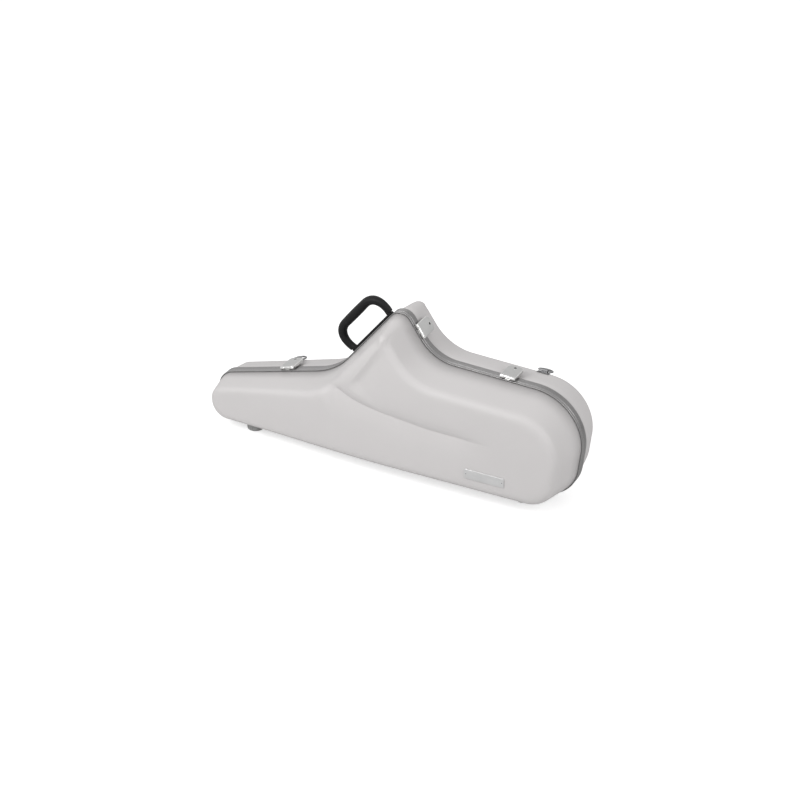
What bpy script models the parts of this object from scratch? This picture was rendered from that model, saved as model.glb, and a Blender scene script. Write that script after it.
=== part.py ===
"""Tenor saxophone case: two moulded half shells, hinged on the straight lower edge.

Metres, +Z up. X runs from the neck end (-X) to the bow end (+X). The lid is the half at -Y,
the base is the half at +Y, and the rails meet at Y = 0. The case stands on its feet at Z = 0.
"""
import math

import bmesh
import bpy
import numpy as np
from mathutils import Matrix, Vector
from mathutils.geometry import delaunay_2d_cdt

# Driving dimensions of the whole case
CASE_LENGTH = 0.944
CASE_RISE = 0.372
FOOT_HEIGHT = 0.014
LID = -1
BASE = 1
BOW_DEPTH = {LID: 0.108, BASE: 0.111}
NECK_DEPTH = {LID: 0.073, BASE: 0.079}
GAP = 0.0003

# Corners of the rails' outline: share of the length, share of the rise, fillet as a share of the rise
CORNER_SHARES = {"neck_bottom": (0.0, 0.0, 0.154), "bow_bottom": (0.984, 0.0, 0.242),
                 "bow_top": (1.015, 0.694, 0.3374), "saddle": (0.610, 0.741, 0.275),
                 "hump": (0.5245, 1.061, 0.0834), "throat": (0.341, 0.498, 0.4302),
                 "neck_top": (0.0, 0.273, 0.1345)}
CHORD_ERROR = 0.0006
STRAIGHT_STEP = 0.050

# Rails
FRONT_RAIL_WIDTH = 0.008
REAR_RAIL_WIDTH = 0.016
RAIL_LIP = 0.0018
RAIL_EDGE = 0.0007
RAIL_DEPTH = 0.0075
RAIL_SEAT_SHARE = 0.42
SEAL_WIDTH = 0.0024
SEAL_HEIGHT = 0.0018

# Moulded shells
SHELL_WALL = 0.0034
WALL_DRAFT_DEG = {LID: 11.0, BASE: 8.0}
SHOULDER_NECK = 0.014
SHOULDER_BOW = {LID: 0.022, BASE: 0.036}
SWELL_END_SHARES = {LID: 0.56, BASE: 0.42}
PANEL_STEP = 0.029
CORNER_RING_SHARES = (0.0, 0.14, 0.42, 0.80)
PANEL_ROW_SHARE = 1.2
RING_LIMIT_SHARE = 0.9
FIELD_HOLD = 0.030
FIELD_START = 0.018
FIELD_CELL = 0.005
FIELD_SMOOTHINGS = 4

# Creases of the lid: below and beside the bell, from their common root
TUBE_CREASE_SHARES = ((0.385, 0.565), (0.448, 0.503), (0.494, 0.476), (0.596, 0.427), (0.680, 0.411),
                      (0.757, 0.400), (0.83, 0.405))
SLOPE_CREASE_SHARES = ((0.420, 0.535), (0.445, 0.600), (0.496, 0.778), (0.540, 0.93))
SLOPE_EDGE_SHARES = ((0.434, 0.570), (0.445, 0.600), (0.496, 0.778), (0.517, 0.850))
TUBE_CREASE_DEPTH = 0.0075
SLOPE_CREASE_DEPTH = 0.0065
CREASE_UPPER_REACH = 0.014
CREASE_LOWER_REACH = 0.032
SLOPE_UPPER_REACH = 0.018
SLOPE_LOWER_REACH = 0.008
CREASE_FADE_SHARE = 0.28
CREASE_STEP = 0.026
CREASE_CLEAR_SHARE = 1.6
RELIEF_BORDER = 0.026

# Padded linings
LINING_CLEARANCE = 0.0046
LINING_TOP = 0.0030
LINING_WALL = 0.017
LINING_SLANT = 0.012
LINING_FLOOR = 0.014
LINING_DRAFT_RUN = 0.0045
LINING_STEP = 0.046

# Hinges on the lower edge
HINGE_SHARES = (0.18, 0.50, 0.80)
HINGE_LENGTH = 0.060
HINGE_KNUCKLE = 0.0034
HINGE_LEAF = 0.0013
HINGE_LEAF_REACH = 0.0165
HINGE_LID_REACH = 0.0086
HINGE_PIN = 0.0015
LID_OPENING_DEG = 105

# Latches
LATCH_WIDTH = 0.037
LATCH_REACH = 0.047
LATCH_BARREL = 0.0042
LATCH_PLATE = 0.0016
LATCH_FLANGE = 0.0014
LATCH_CORNER = 0.011
LATCH_LUG_LENGTH = 0.013
LATCH_LUG_RADIUS = 0.0026
LATCH_FOOT = 0.0009
LATCH_PIN = 0.0014
KEYHOLE_RADIUS = 0.0019
KEYHOLE_INSET = 0.0105
CLAW_WIDTH = 0.012
CLAW_THICKNESS = 0.0016
CLAW_SWING = 0.0180
KEEPER_WIDTH = 0.020
KEEPER_PLATE = 0.0013
KEEPER_RIDGE = 0.0034
KEEPER_RISE = 0.0042
LATCH_PLAY = 2 * GAP
SKIRT_CLEARANCE = 4 * GAP
LATCH_SHARES = {"neck": ("throat", 0.203), "hump": ("saddle", 0.5684), "top": ("bow_top", 0.802)}

# Handle
HANDLE_SHARE = 0.4408
HANDLE_LENGTH = 0.156
HANDLE_RISE = 0.0712
HANDLE_DEPTH_PLACE = 0.0075
HANDLE_BASE_WIDTH = 0.016
HANDLE_BASE_THICKNESS = 0.0058
GRIP_LENGTH = 0.076
GRIP_HALF_RISE = 0.0106
GRIP_HALF_WIDTH = 0.0130
GRIP_PIECES = 6
GRIP_SWELL = 0.0006
ELBOW_FOOT_HALF_RUN = 0.0099
ELBOW_FOOT_HALF_WIDTH = 0.0078
ELBOW_FOOT_INSET = 0.0056
ELBOW_LEAN = 0.007
ELBOW_RISE_SHARE = 0.44
ELBOW_PIECES = 8
HANDLE_SIDES = 12
STRIP_CORNER_SHARE = 0.6

# Strap fittings on the rear shell: run, share of the length, share of the depth there
STRAP_PLATE_RUN = 0.028
STRAP_PLATE_REACH = 0.015
STRAP_PLATE_THICKNESS = 0.0016
STRAP_BARREL = 0.0044
STRAP_BARREL_RUN = 0.014
RING_WIRE = 0.0021
RING_HALF_RUN = 0.016
RING_DROP = 0.021
RING_STEPS = 8
STRAP_SHARES = {"neck": ("throat", 0.188, 0.66), "bow": ("bow_top", 0.853, 0.79)}

# Feet and plate
FOOT_RADIUS = 0.0205
FOOT_CLEARANCE = 0.0008
FOOT_EDGE = 0.0035
FOOT_SIDES = 20
NECK_FOOT_SHARE = 0.119
BOW_FOOT_SHARE = 0.865
PLATE_LENGTH = 0.098
PLATE_HEIGHT = 0.024
PLATE_THICKNESS = 0.0014
PLATE_SEAT = 2 * GAP
PLATE_CORNER_SHARE = 0.28
PLATE_PLACE_SHARE = (0.797, 0.178)
ROUND_SIDES = 16
PIN_SIDES = 12

PART = "tenor_saxophone_case"
CUTTERS = "cutters"
AXES = "joint_axes"


def clear_scene():
    for old in list(bpy.data.objects):
        bpy.data.objects.remove(old, do_unlink=True)


def collection(name):
    found = bpy.data.collections.get(name)
    if found is None:
        found = bpy.data.collections.new(name)
        bpy.context.scene.collection.children.link(found)
    return found


def material(name, colour, roughness, metallic=0.0):
    made = bpy.data.materials.get(name)
    if made is None:
        made = bpy.data.materials.new(name)
        made.use_nodes = True
        shader = made.node_tree.nodes["Principled BSDF"]
        shader.inputs["Base Color"].default_value = (*colour, 1.0)
        shader.inputs["Roughness"].default_value = roughness
        shader.inputs["Metallic"].default_value = metallic
    return made


def shell_finish():
    return material("satin_white", (0.66, 0.64, 0.63), 0.38)


def rail_finish():
    return material("brushed_aluminium", (0.42, 0.42, 0.43), 0.32, 1.0)


def latch_finish():
    return material("nickel", (0.66, 0.66, 0.65), 0.28, 1.0)


def steel_finish():
    return material("steel", (0.32, 0.32, 0.33), 0.35, 1.0)


def black_finish():
    return material("black_grip", (0.015, 0.015, 0.016), 0.42)


def rubber_finish():
    return material("grey_rubber", (0.10, 0.10, 0.10), 0.7)


def seal_finish():
    return material("seal_rubber", (0.02, 0.02, 0.02), 0.6)


def lining_finish():
    return material("lining_cloth", (0.05, 0.05, 0.055), 0.95)


def plate_finish():
    return material("plate_metal", (0.72, 0.72, 0.72), 0.3, 1.0)


def add_object(name, mesh, finish, parent=None):
    made = bpy.data.objects.new(name, mesh)
    collection(PART).objects.link(made)
    mesh.materials.clear()
    mesh.materials.append(finish)
    if parent is not None:
        made.parent = parent
    return made


def mesh_from_faces(name, points, faces):
    mesh = bpy.data.meshes.new(name)
    mesh.from_pydata([tuple(p) for p in points], [], faces)
    mesh.update()
    return mesh


def mesh_from_bmesh(name, work):
    mesh = bpy.data.meshes.new(name)
    work.to_mesh(mesh)
    work.free()
    return mesh


def smooth(mesh, degrees=35.0):
    mesh.shade_smooth()
    mesh.set_sharp_from_angle(angle=math.radians(degrees))


def outward(mesh):
    work = bmesh.new()
    work.from_mesh(mesh)
    bmesh.ops.recalc_face_normals(work, faces=work.faces)
    work.to_mesh(mesh)
    work.free()


def mix(a, b, share):
    return a + (b - a) * share


def smoothstep(value):
    t = np.clip(value, 0.0, 1.0)
    return t * t * (3.0 - 2.0 * t)


# Outline of the rails, in the X-Z plane, running with the outside on its right
def place(share):
    return np.array([share[0] * CASE_LENGTH - CASE_LENGTH / 2, FOOT_HEIGHT + share[1] * CASE_RISE])


def corners():
    return [(place(shares[:2]), shares[2] * CASE_RISE) for shares in CORNER_SHARES.values()]


def unit(vector):
    return vector / np.linalg.norm(vector)


def right_of(direction):
    return np.array([direction[1], -direction[0]])


def fillet(before, corner, after, radius):
    """Tangent points of a rounded corner, its signed turn and the direction into it."""
    into = unit(corner - before)
    out = unit(after - corner)
    turn = math.atan2(into[0] * out[1] - into[1] * out[0], into @ out)
    reach = radius * math.tan(abs(turn) / 2)
    return corner - into * reach, corner + out * reach, turn, into


def outline():
    """Points, outward normals, room before an inward offset folds, and the straight runs."""
    shape = corners()
    count = len(shape)
    bends = [fillet(shape[i - 1][0], shape[i][0], shape[(i + 1) % count][0], shape[i][1])
             for i in range(count)]
    points, normals, room, runs = [], [], [], {}
    for i, (start, end, turn, into) in enumerate(bends):
        radius = shape[i][1]
        centre = start - right_of(into) * math.copysign(radius, turn)
        step = 2 * math.acos(1 - min(CHORD_ERROR / radius, 0.5))
        pieces = max(2, math.ceil(abs(turn) / step))
        for k in range(pieces + 1):
            angle = turn * k / pieces
            away = right_of(into)
            normal = np.array([away[0] * math.cos(angle) - away[1] * math.sin(angle),
                               away[0] * math.sin(angle) + away[1] * math.cos(angle)])
            points.append(centre + normal * math.copysign(radius, turn))
            normals.append(normal)
            room.append(radius if turn > 0 else CASE_LENGTH)
        following = bends[(i + 1) % count][0]
        length = np.linalg.norm(following - end)
        runs[list(CORNER_SHARES)[i]] = (end, following)
        parts = max(1, round(length / STRAIGHT_STEP))
        for k in range(1, parts):
            points.append(mix(end, following, k / parts))
            normals.append(right_of(unit(following - end)))
            room.append(CASE_LENGTH)
    return np.array(points), np.array(normals), np.array(room), runs


POINTS, NORMALS, ROOM, RUNS = outline()


def loop(inset):
    return POINTS - NORMALS * inset


def distance_inside(places, edge):
    """Distance from each place to the closed loop of edge points."""
    start = edge
    along = np.roll(edge, -1, axis=0) - edge
    squared = (along ** 2).sum(1)
    rel = places[:, None, :] - start[None]
    share = np.clip((rel * along[None]).sum(2) / squared[None], 0.0, 1.0)
    return np.sqrt(((rel - share[..., None] * along[None]) ** 2).sum(2)).min(1)


def is_inside(places, edge):
    """Even-odd test of each place against the closed loop of edge points."""
    ahead = np.roll(edge, -1, axis=0)
    inside = np.zeros(len(places), bool)
    for a, b in zip(edge, ahead):
        if a[1] == b[1]:
            continue
        crosses = (places[:, 1] < a[1]) != (places[:, 1] < b[1])
        at = a[0] + (places[:, 1] - a[1]) * (b[0] - a[0]) / (b[1] - a[1])
        inside ^= crosses & (places[:, 0] < at)
    return inside


# Shell form: depth from the parting plane over the X-Z plane
SHELL_INSET = RAIL_LIP + GAP


def shell_rim(rail_width):
    """Depth at which a shell's outer edge starts, so that its inner edge clears the rail's seat."""
    draft = math.radians(max(WALL_DRAFT_DEG.values()))
    return rail_width * RAIL_SEAT_SHARE + GAP + SHELL_WALL * math.sin(draft)


def swell(x, side):
    share = (x + CASE_LENGTH / 2) / CASE_LENGTH
    return smoothstep(share / SWELL_END_SHARES[side])


def corner_and_depth(x, side):
    """Radius of the rounded shoulder and full depth of a half, at a place along the case."""
    grown = swell(x, side)
    return mix(SHOULDER_NECK, SHOULDER_BOW[side], grown), mix(NECK_DEPTH[side], BOW_DEPTH[side], grown)


def shoulder(x, side, rim):
    """Insets where the drafted wall ends and where the panel starts, and the depth of the first."""
    draft = math.radians(WALL_DRAFT_DEG[side])
    corner, full = corner_and_depth(x, side)
    panel = (corner + (full - rim - corner) * math.sin(draft)) / math.cos(draft)
    return panel - corner * math.cos(draft), panel, full - corner * (1 - math.sin(draft))


def rounded_rise(inside, x, side, rim, trim=0.0):
    """Drafted wall, then a round shoulder up to the panel, all trim below the outer surface."""
    draft = math.radians(WALL_DRAFT_DEG[side])
    corner, full = corner_and_depth(x, side)
    corner = corner - trim
    full = full - trim
    panel = (corner + (full - rim - corner) * math.sin(draft)) / math.cos(draft)
    wall_end = panel - corner * math.cos(draft)
    wall = rim + inside / math.tan(draft)
    short = np.clip(panel - inside, 0.0, corner)
    arc = full - corner + np.sqrt(corner ** 2 - short ** 2)
    return np.where(inside < wall_end, wall, arc)


def rounded_inset(depth, x, side, rim):
    """Distance in from the rim at which the outer surface reaches a depth, and its slope there."""
    draft = math.radians(WALL_DRAFT_DEG[side])
    corner, full = corner_and_depth(x, side)
    _, panel, wall_depth = shoulder(x, side, rim)
    if depth < wall_depth:
        return (depth - rim) * math.tan(draft), 1 / math.tan(draft)
    high = depth - full + corner
    short = math.sqrt(corner ** 2 - high ** 2)
    return panel - short, short / high


class Field:
    """Depth of a moulded half over the plane: exact near the rim, smoothed on the panel."""

    def __init__(self, side, inset, rim, trim=0.0, relief=None):
        self.side = side
        self.inset = inset
        self.edge = loop(inset)
        self.rim = rim
        self.trim = trim
        self.relief = relief
        self.low = self.edge.min(0) - FIELD_CELL
        size = np.ceil((self.edge.max(0) - self.low) / FIELD_CELL).astype(int) + 2
        grid_x, grid_z = np.meshgrid(np.arange(size[0]), np.arange(size[1]), indexing="ij")
        places = np.stack([grid_x, grid_z], -1).reshape(-1, 2) * FIELD_CELL + self.low
        inside = distance_inside(places, self.edge) * is_inside(places, self.edge)
        depth = rounded_rise(inside, places[:, 0], side, rim, trim).reshape(size)
        hold = smoothstep((inside.reshape(size) - FIELD_START) / FIELD_HOLD)
        for _ in range(FIELD_SMOOTHINGS):
            near = sum(np.roll(depth, step, axis) for axis in (0, 1) for step in (-1, 1)) / 4
            depth = mix(depth, near, hold)
        self.grid = depth

    def depth(self, places):
        places = np.atleast_2d(places)
        inside = distance_inside(places, self.edge)
        exact = rounded_rise(inside, places[:, 0], self.side, self.rim, self.trim)
        cell = (places - self.low) / FIELD_CELL
        base = np.clip(np.floor(cell).astype(int), 0, np.array(self.grid.shape) - 2)
        part = cell - base
        corner = [self.grid[base[:, 0] + i, base[:, 1] + j] for i in (0, 1) for j in (0, 1)]
        low = mix(corner[0], corner[1], part[:, 1])
        high = mix(corner[2], corner[3], part[:, 1])
        panel = mix(low, high, part[:, 0])
        value = mix(exact, panel, smoothstep((inside - FIELD_START) / FIELD_HOLD))
        if self.relief is not None:
            value = value - self.relief(places) * smoothstep(inside / RELIEF_BORDER)
        return value


def curve_through(shares, step):
    """Smooth open curve through places given as shares, sampled about every step."""
    knots = np.array([place(s) for s in shares])
    ends = np.vstack([2 * knots[0] - knots[1], knots, 2 * knots[-1] - knots[-2]])
    line = []
    for i in range(1, len(knots)):
        a, b, c, d = ends[i - 1:i + 3]
        pieces = max(1, round(np.linalg.norm(c - b) / step))
        for t in np.arange(pieces) / pieces:
            line.append(0.5 * (2 * b + (c - a) * t + (2 * a - 5 * b + 4 * c - d) * t ** 2
                               + (3 * b - a - 3 * c + d) * t ** 3))
    return np.array(line + [knots[-1]])


def side_and_share(places, line):
    """Signed distance to an open curve, positive on its left, and the share along it."""
    along = line[1:] - line[:-1]
    rel = places[:, None, :] - line[None, :-1]
    share = np.clip((rel * along[None]).sum(2) / (along ** 2).sum(1)[None], 0.0, 1.0)
    off = rel - share[..., None] * along[None]
    dist = np.sqrt((off ** 2).sum(2))
    best = dist.argmin(1)
    rows = np.arange(len(places))
    cross = along[best, 0] * rel[rows, best, 1] - along[best, 1] * rel[rows, best, 0]
    return np.sign(cross) * dist[rows, best], (best + share[rows, best]) / len(along)


def fade(share):
    return smoothstep(share / CREASE_FADE_SHARE) * smoothstep((1 - share) / CREASE_FADE_SHARE)


def lid_relief(places):
    """Depth lost in the two creases that set the bell off from the body tube."""
    side, share = side_and_share(places, curve_through(TUBE_CREASE_SHARES, CREASE_STEP))
    reach = np.where(side > 0, CREASE_UPPER_REACH, CREASE_LOWER_REACH)
    sunk = TUBE_CREASE_DEPTH * np.exp(-np.abs(side) / reach) * fade(share)
    side, share = side_and_share(places, curve_through(SLOPE_CREASE_SHARES, CREASE_STEP))
    reach = np.where(side > 0, SLOPE_UPPER_REACH, SLOPE_LOWER_REACH)
    beside = SLOPE_CREASE_DEPTH * np.exp(-np.abs(side) / reach) * fade(share)
    return sunk + beside


def rings(field, insets):
    """Full rings inward from the rim, in the plane, drawn closer where a corner is tight."""
    limit = RING_LIMIT_SHARE * (ROOM - field.inset)
    return [field.edge - NORMALS * (limit * (1 - np.exp(-inset / limit)))[:, None] for inset in insets]


def plane_mesh(field, insets, step, row=None, lines=()):
    """Triangulated plan of a half: rings at the rim, a row of points, then a field of them."""
    bands = rings(field, insets)
    count = len(POINTS)
    faces = []
    for k in range(len(bands) - 1):
        for i in range(count):
            j = (i + 1) % count
            faces.append((k * count + i, k * count + j, (k + 1) * count + j, (k + 1) * count + i))
    inner = bands[-1]
    low, high = inner.min(0), inner.max(0)
    lift = step * math.sqrt(3) / 2
    seeds = []
    for row in range(int((high[1] - low[1]) / lift) + 1):
        for x in np.arange(low[0] + step / 2 * (row % 2), high[0], step):
            seeds.append((x, low[1] + row * lift))
    seeds = np.array(seeds)
    clear = distance_inside(seeds, inner) > step / 2
    seeds = seeds[is_inside(seeds, inner) & clear]
    if row is not None:
        border = rings(field, [row])[0]
        border = border[is_inside(border, inner) & (distance_inside(border, inner) > step / 4)]
        apart = np.sqrt(((border[:, None] - seeds[None]) ** 2).sum(2)).min(0)
        seeds = np.vstack([seeds[apart > step / 2], border])
    creases = []
    for line in lines:
        kept = line[is_inside(line, inner) & (distance_inside(line, inner) > step / 4)]
        across = np.array([right_of(unit(way)) for way in np.gradient(kept, axis=0)])
        flanks = np.vstack([kept + across * CREASE_UPPER_REACH, kept - across * CREASE_UPPER_REACH])
        flanks = flanks[is_inside(flanks, inner) & (distance_inside(flanks, inner) > step / 4)]
        for other in creases:
            flanks = flanks[np.abs(side_and_share(flanks, other)[0]) > CREASE_UPPER_REACH]
        seeds = seeds[np.abs(side_and_share(seeds, kept)[0]) > CREASE_UPPER_REACH * CREASE_CLEAR_SHARE]
        if creases:
            apart = np.sqrt(((flanks[:, None] - seeds[None]) ** 2).sum(2)).min(1)
            flanks = flanks[apart > step / 2]
        seeds = np.vstack([seeds, flanks])
        creases.append(kept)
    places = [inner, *creases, seeds]
    edges = [(i, (i + 1) % count) for i in range(count)]
    first = count
    for kept in creases:
        edges += [(first + i, first + i + 1) for i in range(len(kept) - 1)]
        first += len(kept)
    flat = np.vstack(places)
    found = delaunay_2d_cdt([Vector(p) for p in flat], edges, [tuple(range(count))], 1, 1e-7)
    shift = (len(bands) - 1) * count
    for face in found[2]:
        faces.append(tuple(shift + i for i in face))
    return np.vstack(bands[:-1] + [np.array([tuple(p) for p in found[0]])]), faces


def raise_plan(places, depth, side):
    return [(p[0], side * y, p[1]) for p, y in zip(places, depth)]


def facing(faces, side):
    return faces if side < 0 else [tuple(reversed(f)) for f in faces]


def shell(name, side, rail_width, relief=None, lines=()):
    """Half shell: an open moulded surface with an even wall inside it."""
    rim = shell_rim(rail_width)
    field = Field(side, SHELL_INSET, rim, relief=relief)
    wall_end, panel, _ = shoulder(field.edge[:, 0], side, rim)
    insets = [wall_end * 0] + [mix(wall_end, panel, share) for share in CORNER_RING_SHARES]
    places, faces = plane_mesh(field, insets, PANEL_STEP, panel * PANEL_ROW_SHARE, lines)
    depth = field.depth(places)
    mesh = mesh_from_faces(name, raise_plan(places, depth, side), facing(faces, side))
    smooth(mesh, 60.0)
    made = add_object(name, mesh, shell_finish())
    wall = made.modifiers.new("wall", "SOLIDIFY")
    wall.thickness = SHELL_WALL
    wall.offset = -1.0
    wall.use_even_offset = True
    return made


def lining(name, side, rail_width):
    """Padded tray: the shell's inner form outside, a slanted hollow inside."""
    rim = LINING_TOP + GAP
    inset = SHELL_INSET + RAIL_DEPTH
    trim = SHELL_WALL + LINING_CLEARANCE
    field = Field(side, inset, rail_width, trim)
    insets = [0.0, LINING_DRAFT_RUN, LINING_WALL, LINING_WALL + LINING_SLANT]
    places, faces = plane_mesh(field, insets, LINING_STEP)
    outer = field.depth(places) - LINING_CLEARANCE
    count = len(places)
    around = len(POINTS)
    sunk = np.arange(count) >= around * (len(insets) - 1)
    inner = np.where(sunk, np.maximum(outer - LINING_FLOOR, rim), rim)
    points = raise_plan(places, outer, side) + raise_plan(places, inner, side)
    sides = [(i, i + count, (i + 1) % around + count, (i + 1) % around) for i in range(around)]
    under = [tuple(count + i for i in reversed(f)) for f in faces]
    mesh = mesh_from_faces(name, points, facing(faces + under + sides, side))
    smooth(mesh, 50.0)
    return add_object(name, mesh, lining_finish())


# Rails and seal: one profile swept round the outline
def swept_ring(name, profile, finish):
    """Profile points are (inset from the outline, Y), swept round the closed outline."""
    rows = [loop(inset) for inset, _ in profile]
    count, across = len(POINTS), len(profile)
    points = [(rows[k][i][0], profile[k][1], rows[k][i][1])
              for i in range(count) for k in range(across)]
    faces = []
    for i in range(count):
        j = (i + 1) % count
        for k in range(across):
            m = (k + 1) % across
            faces.append((i * across + k, i * across + m, j * across + m, j * across + k))
    mesh = mesh_from_faces(name, points, faces)
    outward(mesh)
    smooth(mesh, 30.0)
    return add_object(name, mesh, finish)


def rail_profile(side, width, grooved):
    """Lip over the shell's edge, seat behind its rim, and the face that meets the other rail."""
    near = GAP / 2
    seat = width * RAIL_SEAT_SHARE
    shape = [(RAIL_EDGE, near), (0.0, near + RAIL_EDGE), (0.0, width - RAIL_EDGE), (RAIL_EDGE, width),
             (RAIL_LIP, width), (RAIL_LIP, seat), (RAIL_DEPTH, seat), (RAIL_DEPTH, near)]
    if grooved:
        middle = mix(RAIL_LIP, RAIL_DEPTH, 0.5)
        half = SEAL_WIDTH / 2 + GAP
        deep = near + SEAL_HEIGHT + GAP
        shape += [(middle + half, near), (middle + half, deep),
                  (middle - half, deep), (middle - half, near)]
    return [(inset, side * y) for inset, y in shape]


def seal_profile():
    middle = mix(RAIL_LIP, RAIL_DEPTH, 0.5)
    half = SEAL_WIDTH / 2
    low = GAP / 2
    return [(middle - half, low + SEAL_HEIGHT), (middle - half, low + RAIL_EDGE), (middle, low),
            (middle + half, low + RAIL_EDGE), (middle + half, low + SEAL_HEIGHT)]


# Fittings on the outline: local x along it toward +X, local y toward the base, local z outward
def run_place(run, share):
    """Place and outward normal on a straight run, at a share of the case's length."""
    start, end = RUNS[run]
    part = ((share - 0.5) * CASE_LENGTH - start[0]) / (end[0] - start[0])
    return mix(start, end, part), right_of(unit(end - start))


def frame_at(spot, normal, depth=0.0):
    along = np.array([normal[1], -normal[0]])
    x_axis = Vector((along[0], 0.0, along[1]))
    z_axis = Vector((normal[0], 0.0, normal[1]))
    y_axis = z_axis.cross(x_axis)
    frame = Matrix((x_axis, y_axis, z_axis)).transposed().to_4x4()
    frame.translation = Vector((spot[0], depth, spot[1]))
    return frame


def joint_empty(name, matrix):
    made = bpy.data.objects.new(name, None)
    made.empty_display_size = HINGE_LENGTH / 2
    collection(AXES).objects.link(made)
    made.matrix_world = matrix
    return made


def set_at(piece, empty, offset=(0.0, 0.0, 0.0)):
    piece.parent = empty
    piece.matrix_local = Matrix.Translation(Vector(offset))


def box_mesh(name, low, high):
    work = bmesh.new()
    bmesh.ops.create_cube(work, size=1.0)
    low, high = Vector(low), Vector(high)
    for vert in work.verts:
        vert.co = Vector(mix(low[i], high[i], vert.co[i] + 0.5) for i in range(3))
    return mesh_from_bmesh(name, work)


def rod_mesh(name, radius, x_low, x_high, sides=ROUND_SIDES):
    """Cylinder along local x, with flats at its top and bottom."""
    work = bmesh.new()
    bmesh.ops.create_cone(work, cap_ends=True, segments=sides, radius1=radius, radius2=radius,
                          depth=x_high - x_low)
    turn = Matrix.Rotation(math.pi / 2, 4, "Y") @ Matrix.Rotation(math.pi / sides, 4, "Z")
    centre = Matrix.Translation(((x_low + x_high) / 2, 0.0, 0.0))
    bmesh.ops.transform(work, matrix=centre @ turn, verts=work.verts)
    return mesh_from_bmesh(name, work)


def slab_mesh(name, outline_points, z_low, z_high):
    """Flat outline in local x-y, with thickness along z."""
    work = bmesh.new()
    ring = [work.verts.new((x, y, z_low)) for x, y in outline_points]
    face = work.faces.new(ring)
    lifted = bmesh.ops.extrude_face_region(work, geom=[face])
    top = [v for v in lifted["geom"] if isinstance(v, bmesh.types.BMVert)]
    bmesh.ops.translate(work, vec=(0.0, 0.0, z_high - z_low), verts=top)
    bmesh.ops.recalc_face_normals(work, faces=work.faces)
    return mesh_from_bmesh(name, work)


def combine(mesh, changes):
    """Apply Boolean steps (operation, other mesh) to a mesh in the same local space."""
    body = bpy.data.objects.new("body", mesh)
    collection(CUTTERS).objects.link(body)
    helpers = []
    for operation, other in changes:
        helper = bpy.data.objects.new("helper", other)
        collection(CUTTERS).objects.link(helper)
        helper.display_type = "WIRE"
        helper.hide_render = True
        step = body.modifiers.new(operation, "BOOLEAN")
        step.operation = operation
        step.solver = "EXACT"
        step.object = helper
        helpers.append(helper)
    bpy.context.view_layer.update()
    graph = bpy.context.evaluated_depsgraph_get()
    result = bpy.data.meshes.new_from_object(body.evaluated_get(graph))
    for used in [body, *helpers]:
        bpy.data.objects.remove(used, do_unlink=True)
    return result


def rounded_outline(x_half, y_low, y_high, corner, steps=5):
    """Rectangle with its two far corners rounded."""
    points = [(-x_half, y_low), (x_half, y_low)]
    for quarter, centre in enumerate((x_half - corner, corner - x_half)):
        for k in range(steps + 1):
            angle = math.pi / 2 * (quarter + k / steps)
            points.append((centre + corner * math.cos(angle), y_high - corner + corner * math.sin(angle)))
    return points


# Hinges
def hinge_leaf(name, side, reach, inner):
    """Leaf under a rail with its share of the knuckles, axis at the local origin."""
    third = HINGE_LENGTH / 3
    cuts = GAP
    top = -HINGE_KNUCKLE
    plate = box_mesh(name, (-HINGE_LENGTH / 2, 0.0, top), (HINGE_LENGTH / 2, reach, top + HINGE_LEAF))
    steps = []
    spans = [(-third / 2 + cuts, third / 2 - cuts)] if inner else [(-HINGE_LENGTH / 2, -third / 2),
                                                                  (third / 2, HINGE_LENGTH / 2)]
    for low, high in spans:
        steps.append(("UNION", rod_mesh("knuckle", HINGE_KNUCKLE, low, high)))
    clear = HINGE_KNUCKLE + GAP
    if inner:
        free = [(-HINGE_LENGTH, -third / 2 + cuts), (third / 2 - cuts, HINGE_LENGTH)]
    else:
        free = [(-third / 2, third / 2)]
    for low, high in free:
        steps.append(("DIFFERENCE", box_mesh("free", (low, -clear, -clear), (high, clear, clear))))
    steps.append(("DIFFERENCE", rod_mesh("bore", HINGE_PIN + GAP, -HINGE_LENGTH, HINGE_LENGTH, PIN_SIDES)))
    mesh = combine(plate, steps)
    if side < 0:
        mesh.transform(Matrix.Rotation(math.pi, 4, "Z"))
    smooth(mesh)
    return mesh


def hinges():
    drop = GAP + HINGE_KNUCKLE
    bottom, normal = run_place("neck_bottom", 0.5)
    axis_height = bottom[1] - drop
    for number, share in enumerate(HINGE_SHARES, 1):
        x = CASE_LENGTH * (share - 0.5)
        # Local x points to -X here, because local z points down
        frame = frame_at(np.array([x, axis_height]), normal)
        empty = joint_empty(f"hinge_axis_{number}", frame)
        base_mesh = hinge_leaf("hinge_base_leaf", 1, HINGE_LEAF_REACH, inner=False)
        set_at(add_object(f"hinge_base_leaf_{number}", base_mesh, steel_finish()), empty)
        lid_mesh = hinge_leaf("hinge_lid_leaf", -1, HINGE_LID_REACH, inner=True)
        set_at(add_object(f"hinge_lid_leaf_{number}", lid_mesh, steel_finish()), empty)
        pin = rod_mesh("hinge_pin", HINGE_PIN, -HINGE_LENGTH / 2, HINGE_LENGTH / 2, PIN_SIDES)
        smooth(pin)
        set_at(add_object(f"hinge_pin_{number}", pin, steel_finish()), empty)


# Latches
def latch_pivot():
    return Vector((0.0, LATCH_BARREL - FRONT_RAIL_WIDTH + RAIL_EDGE, GAP + LATCH_BARREL))


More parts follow.
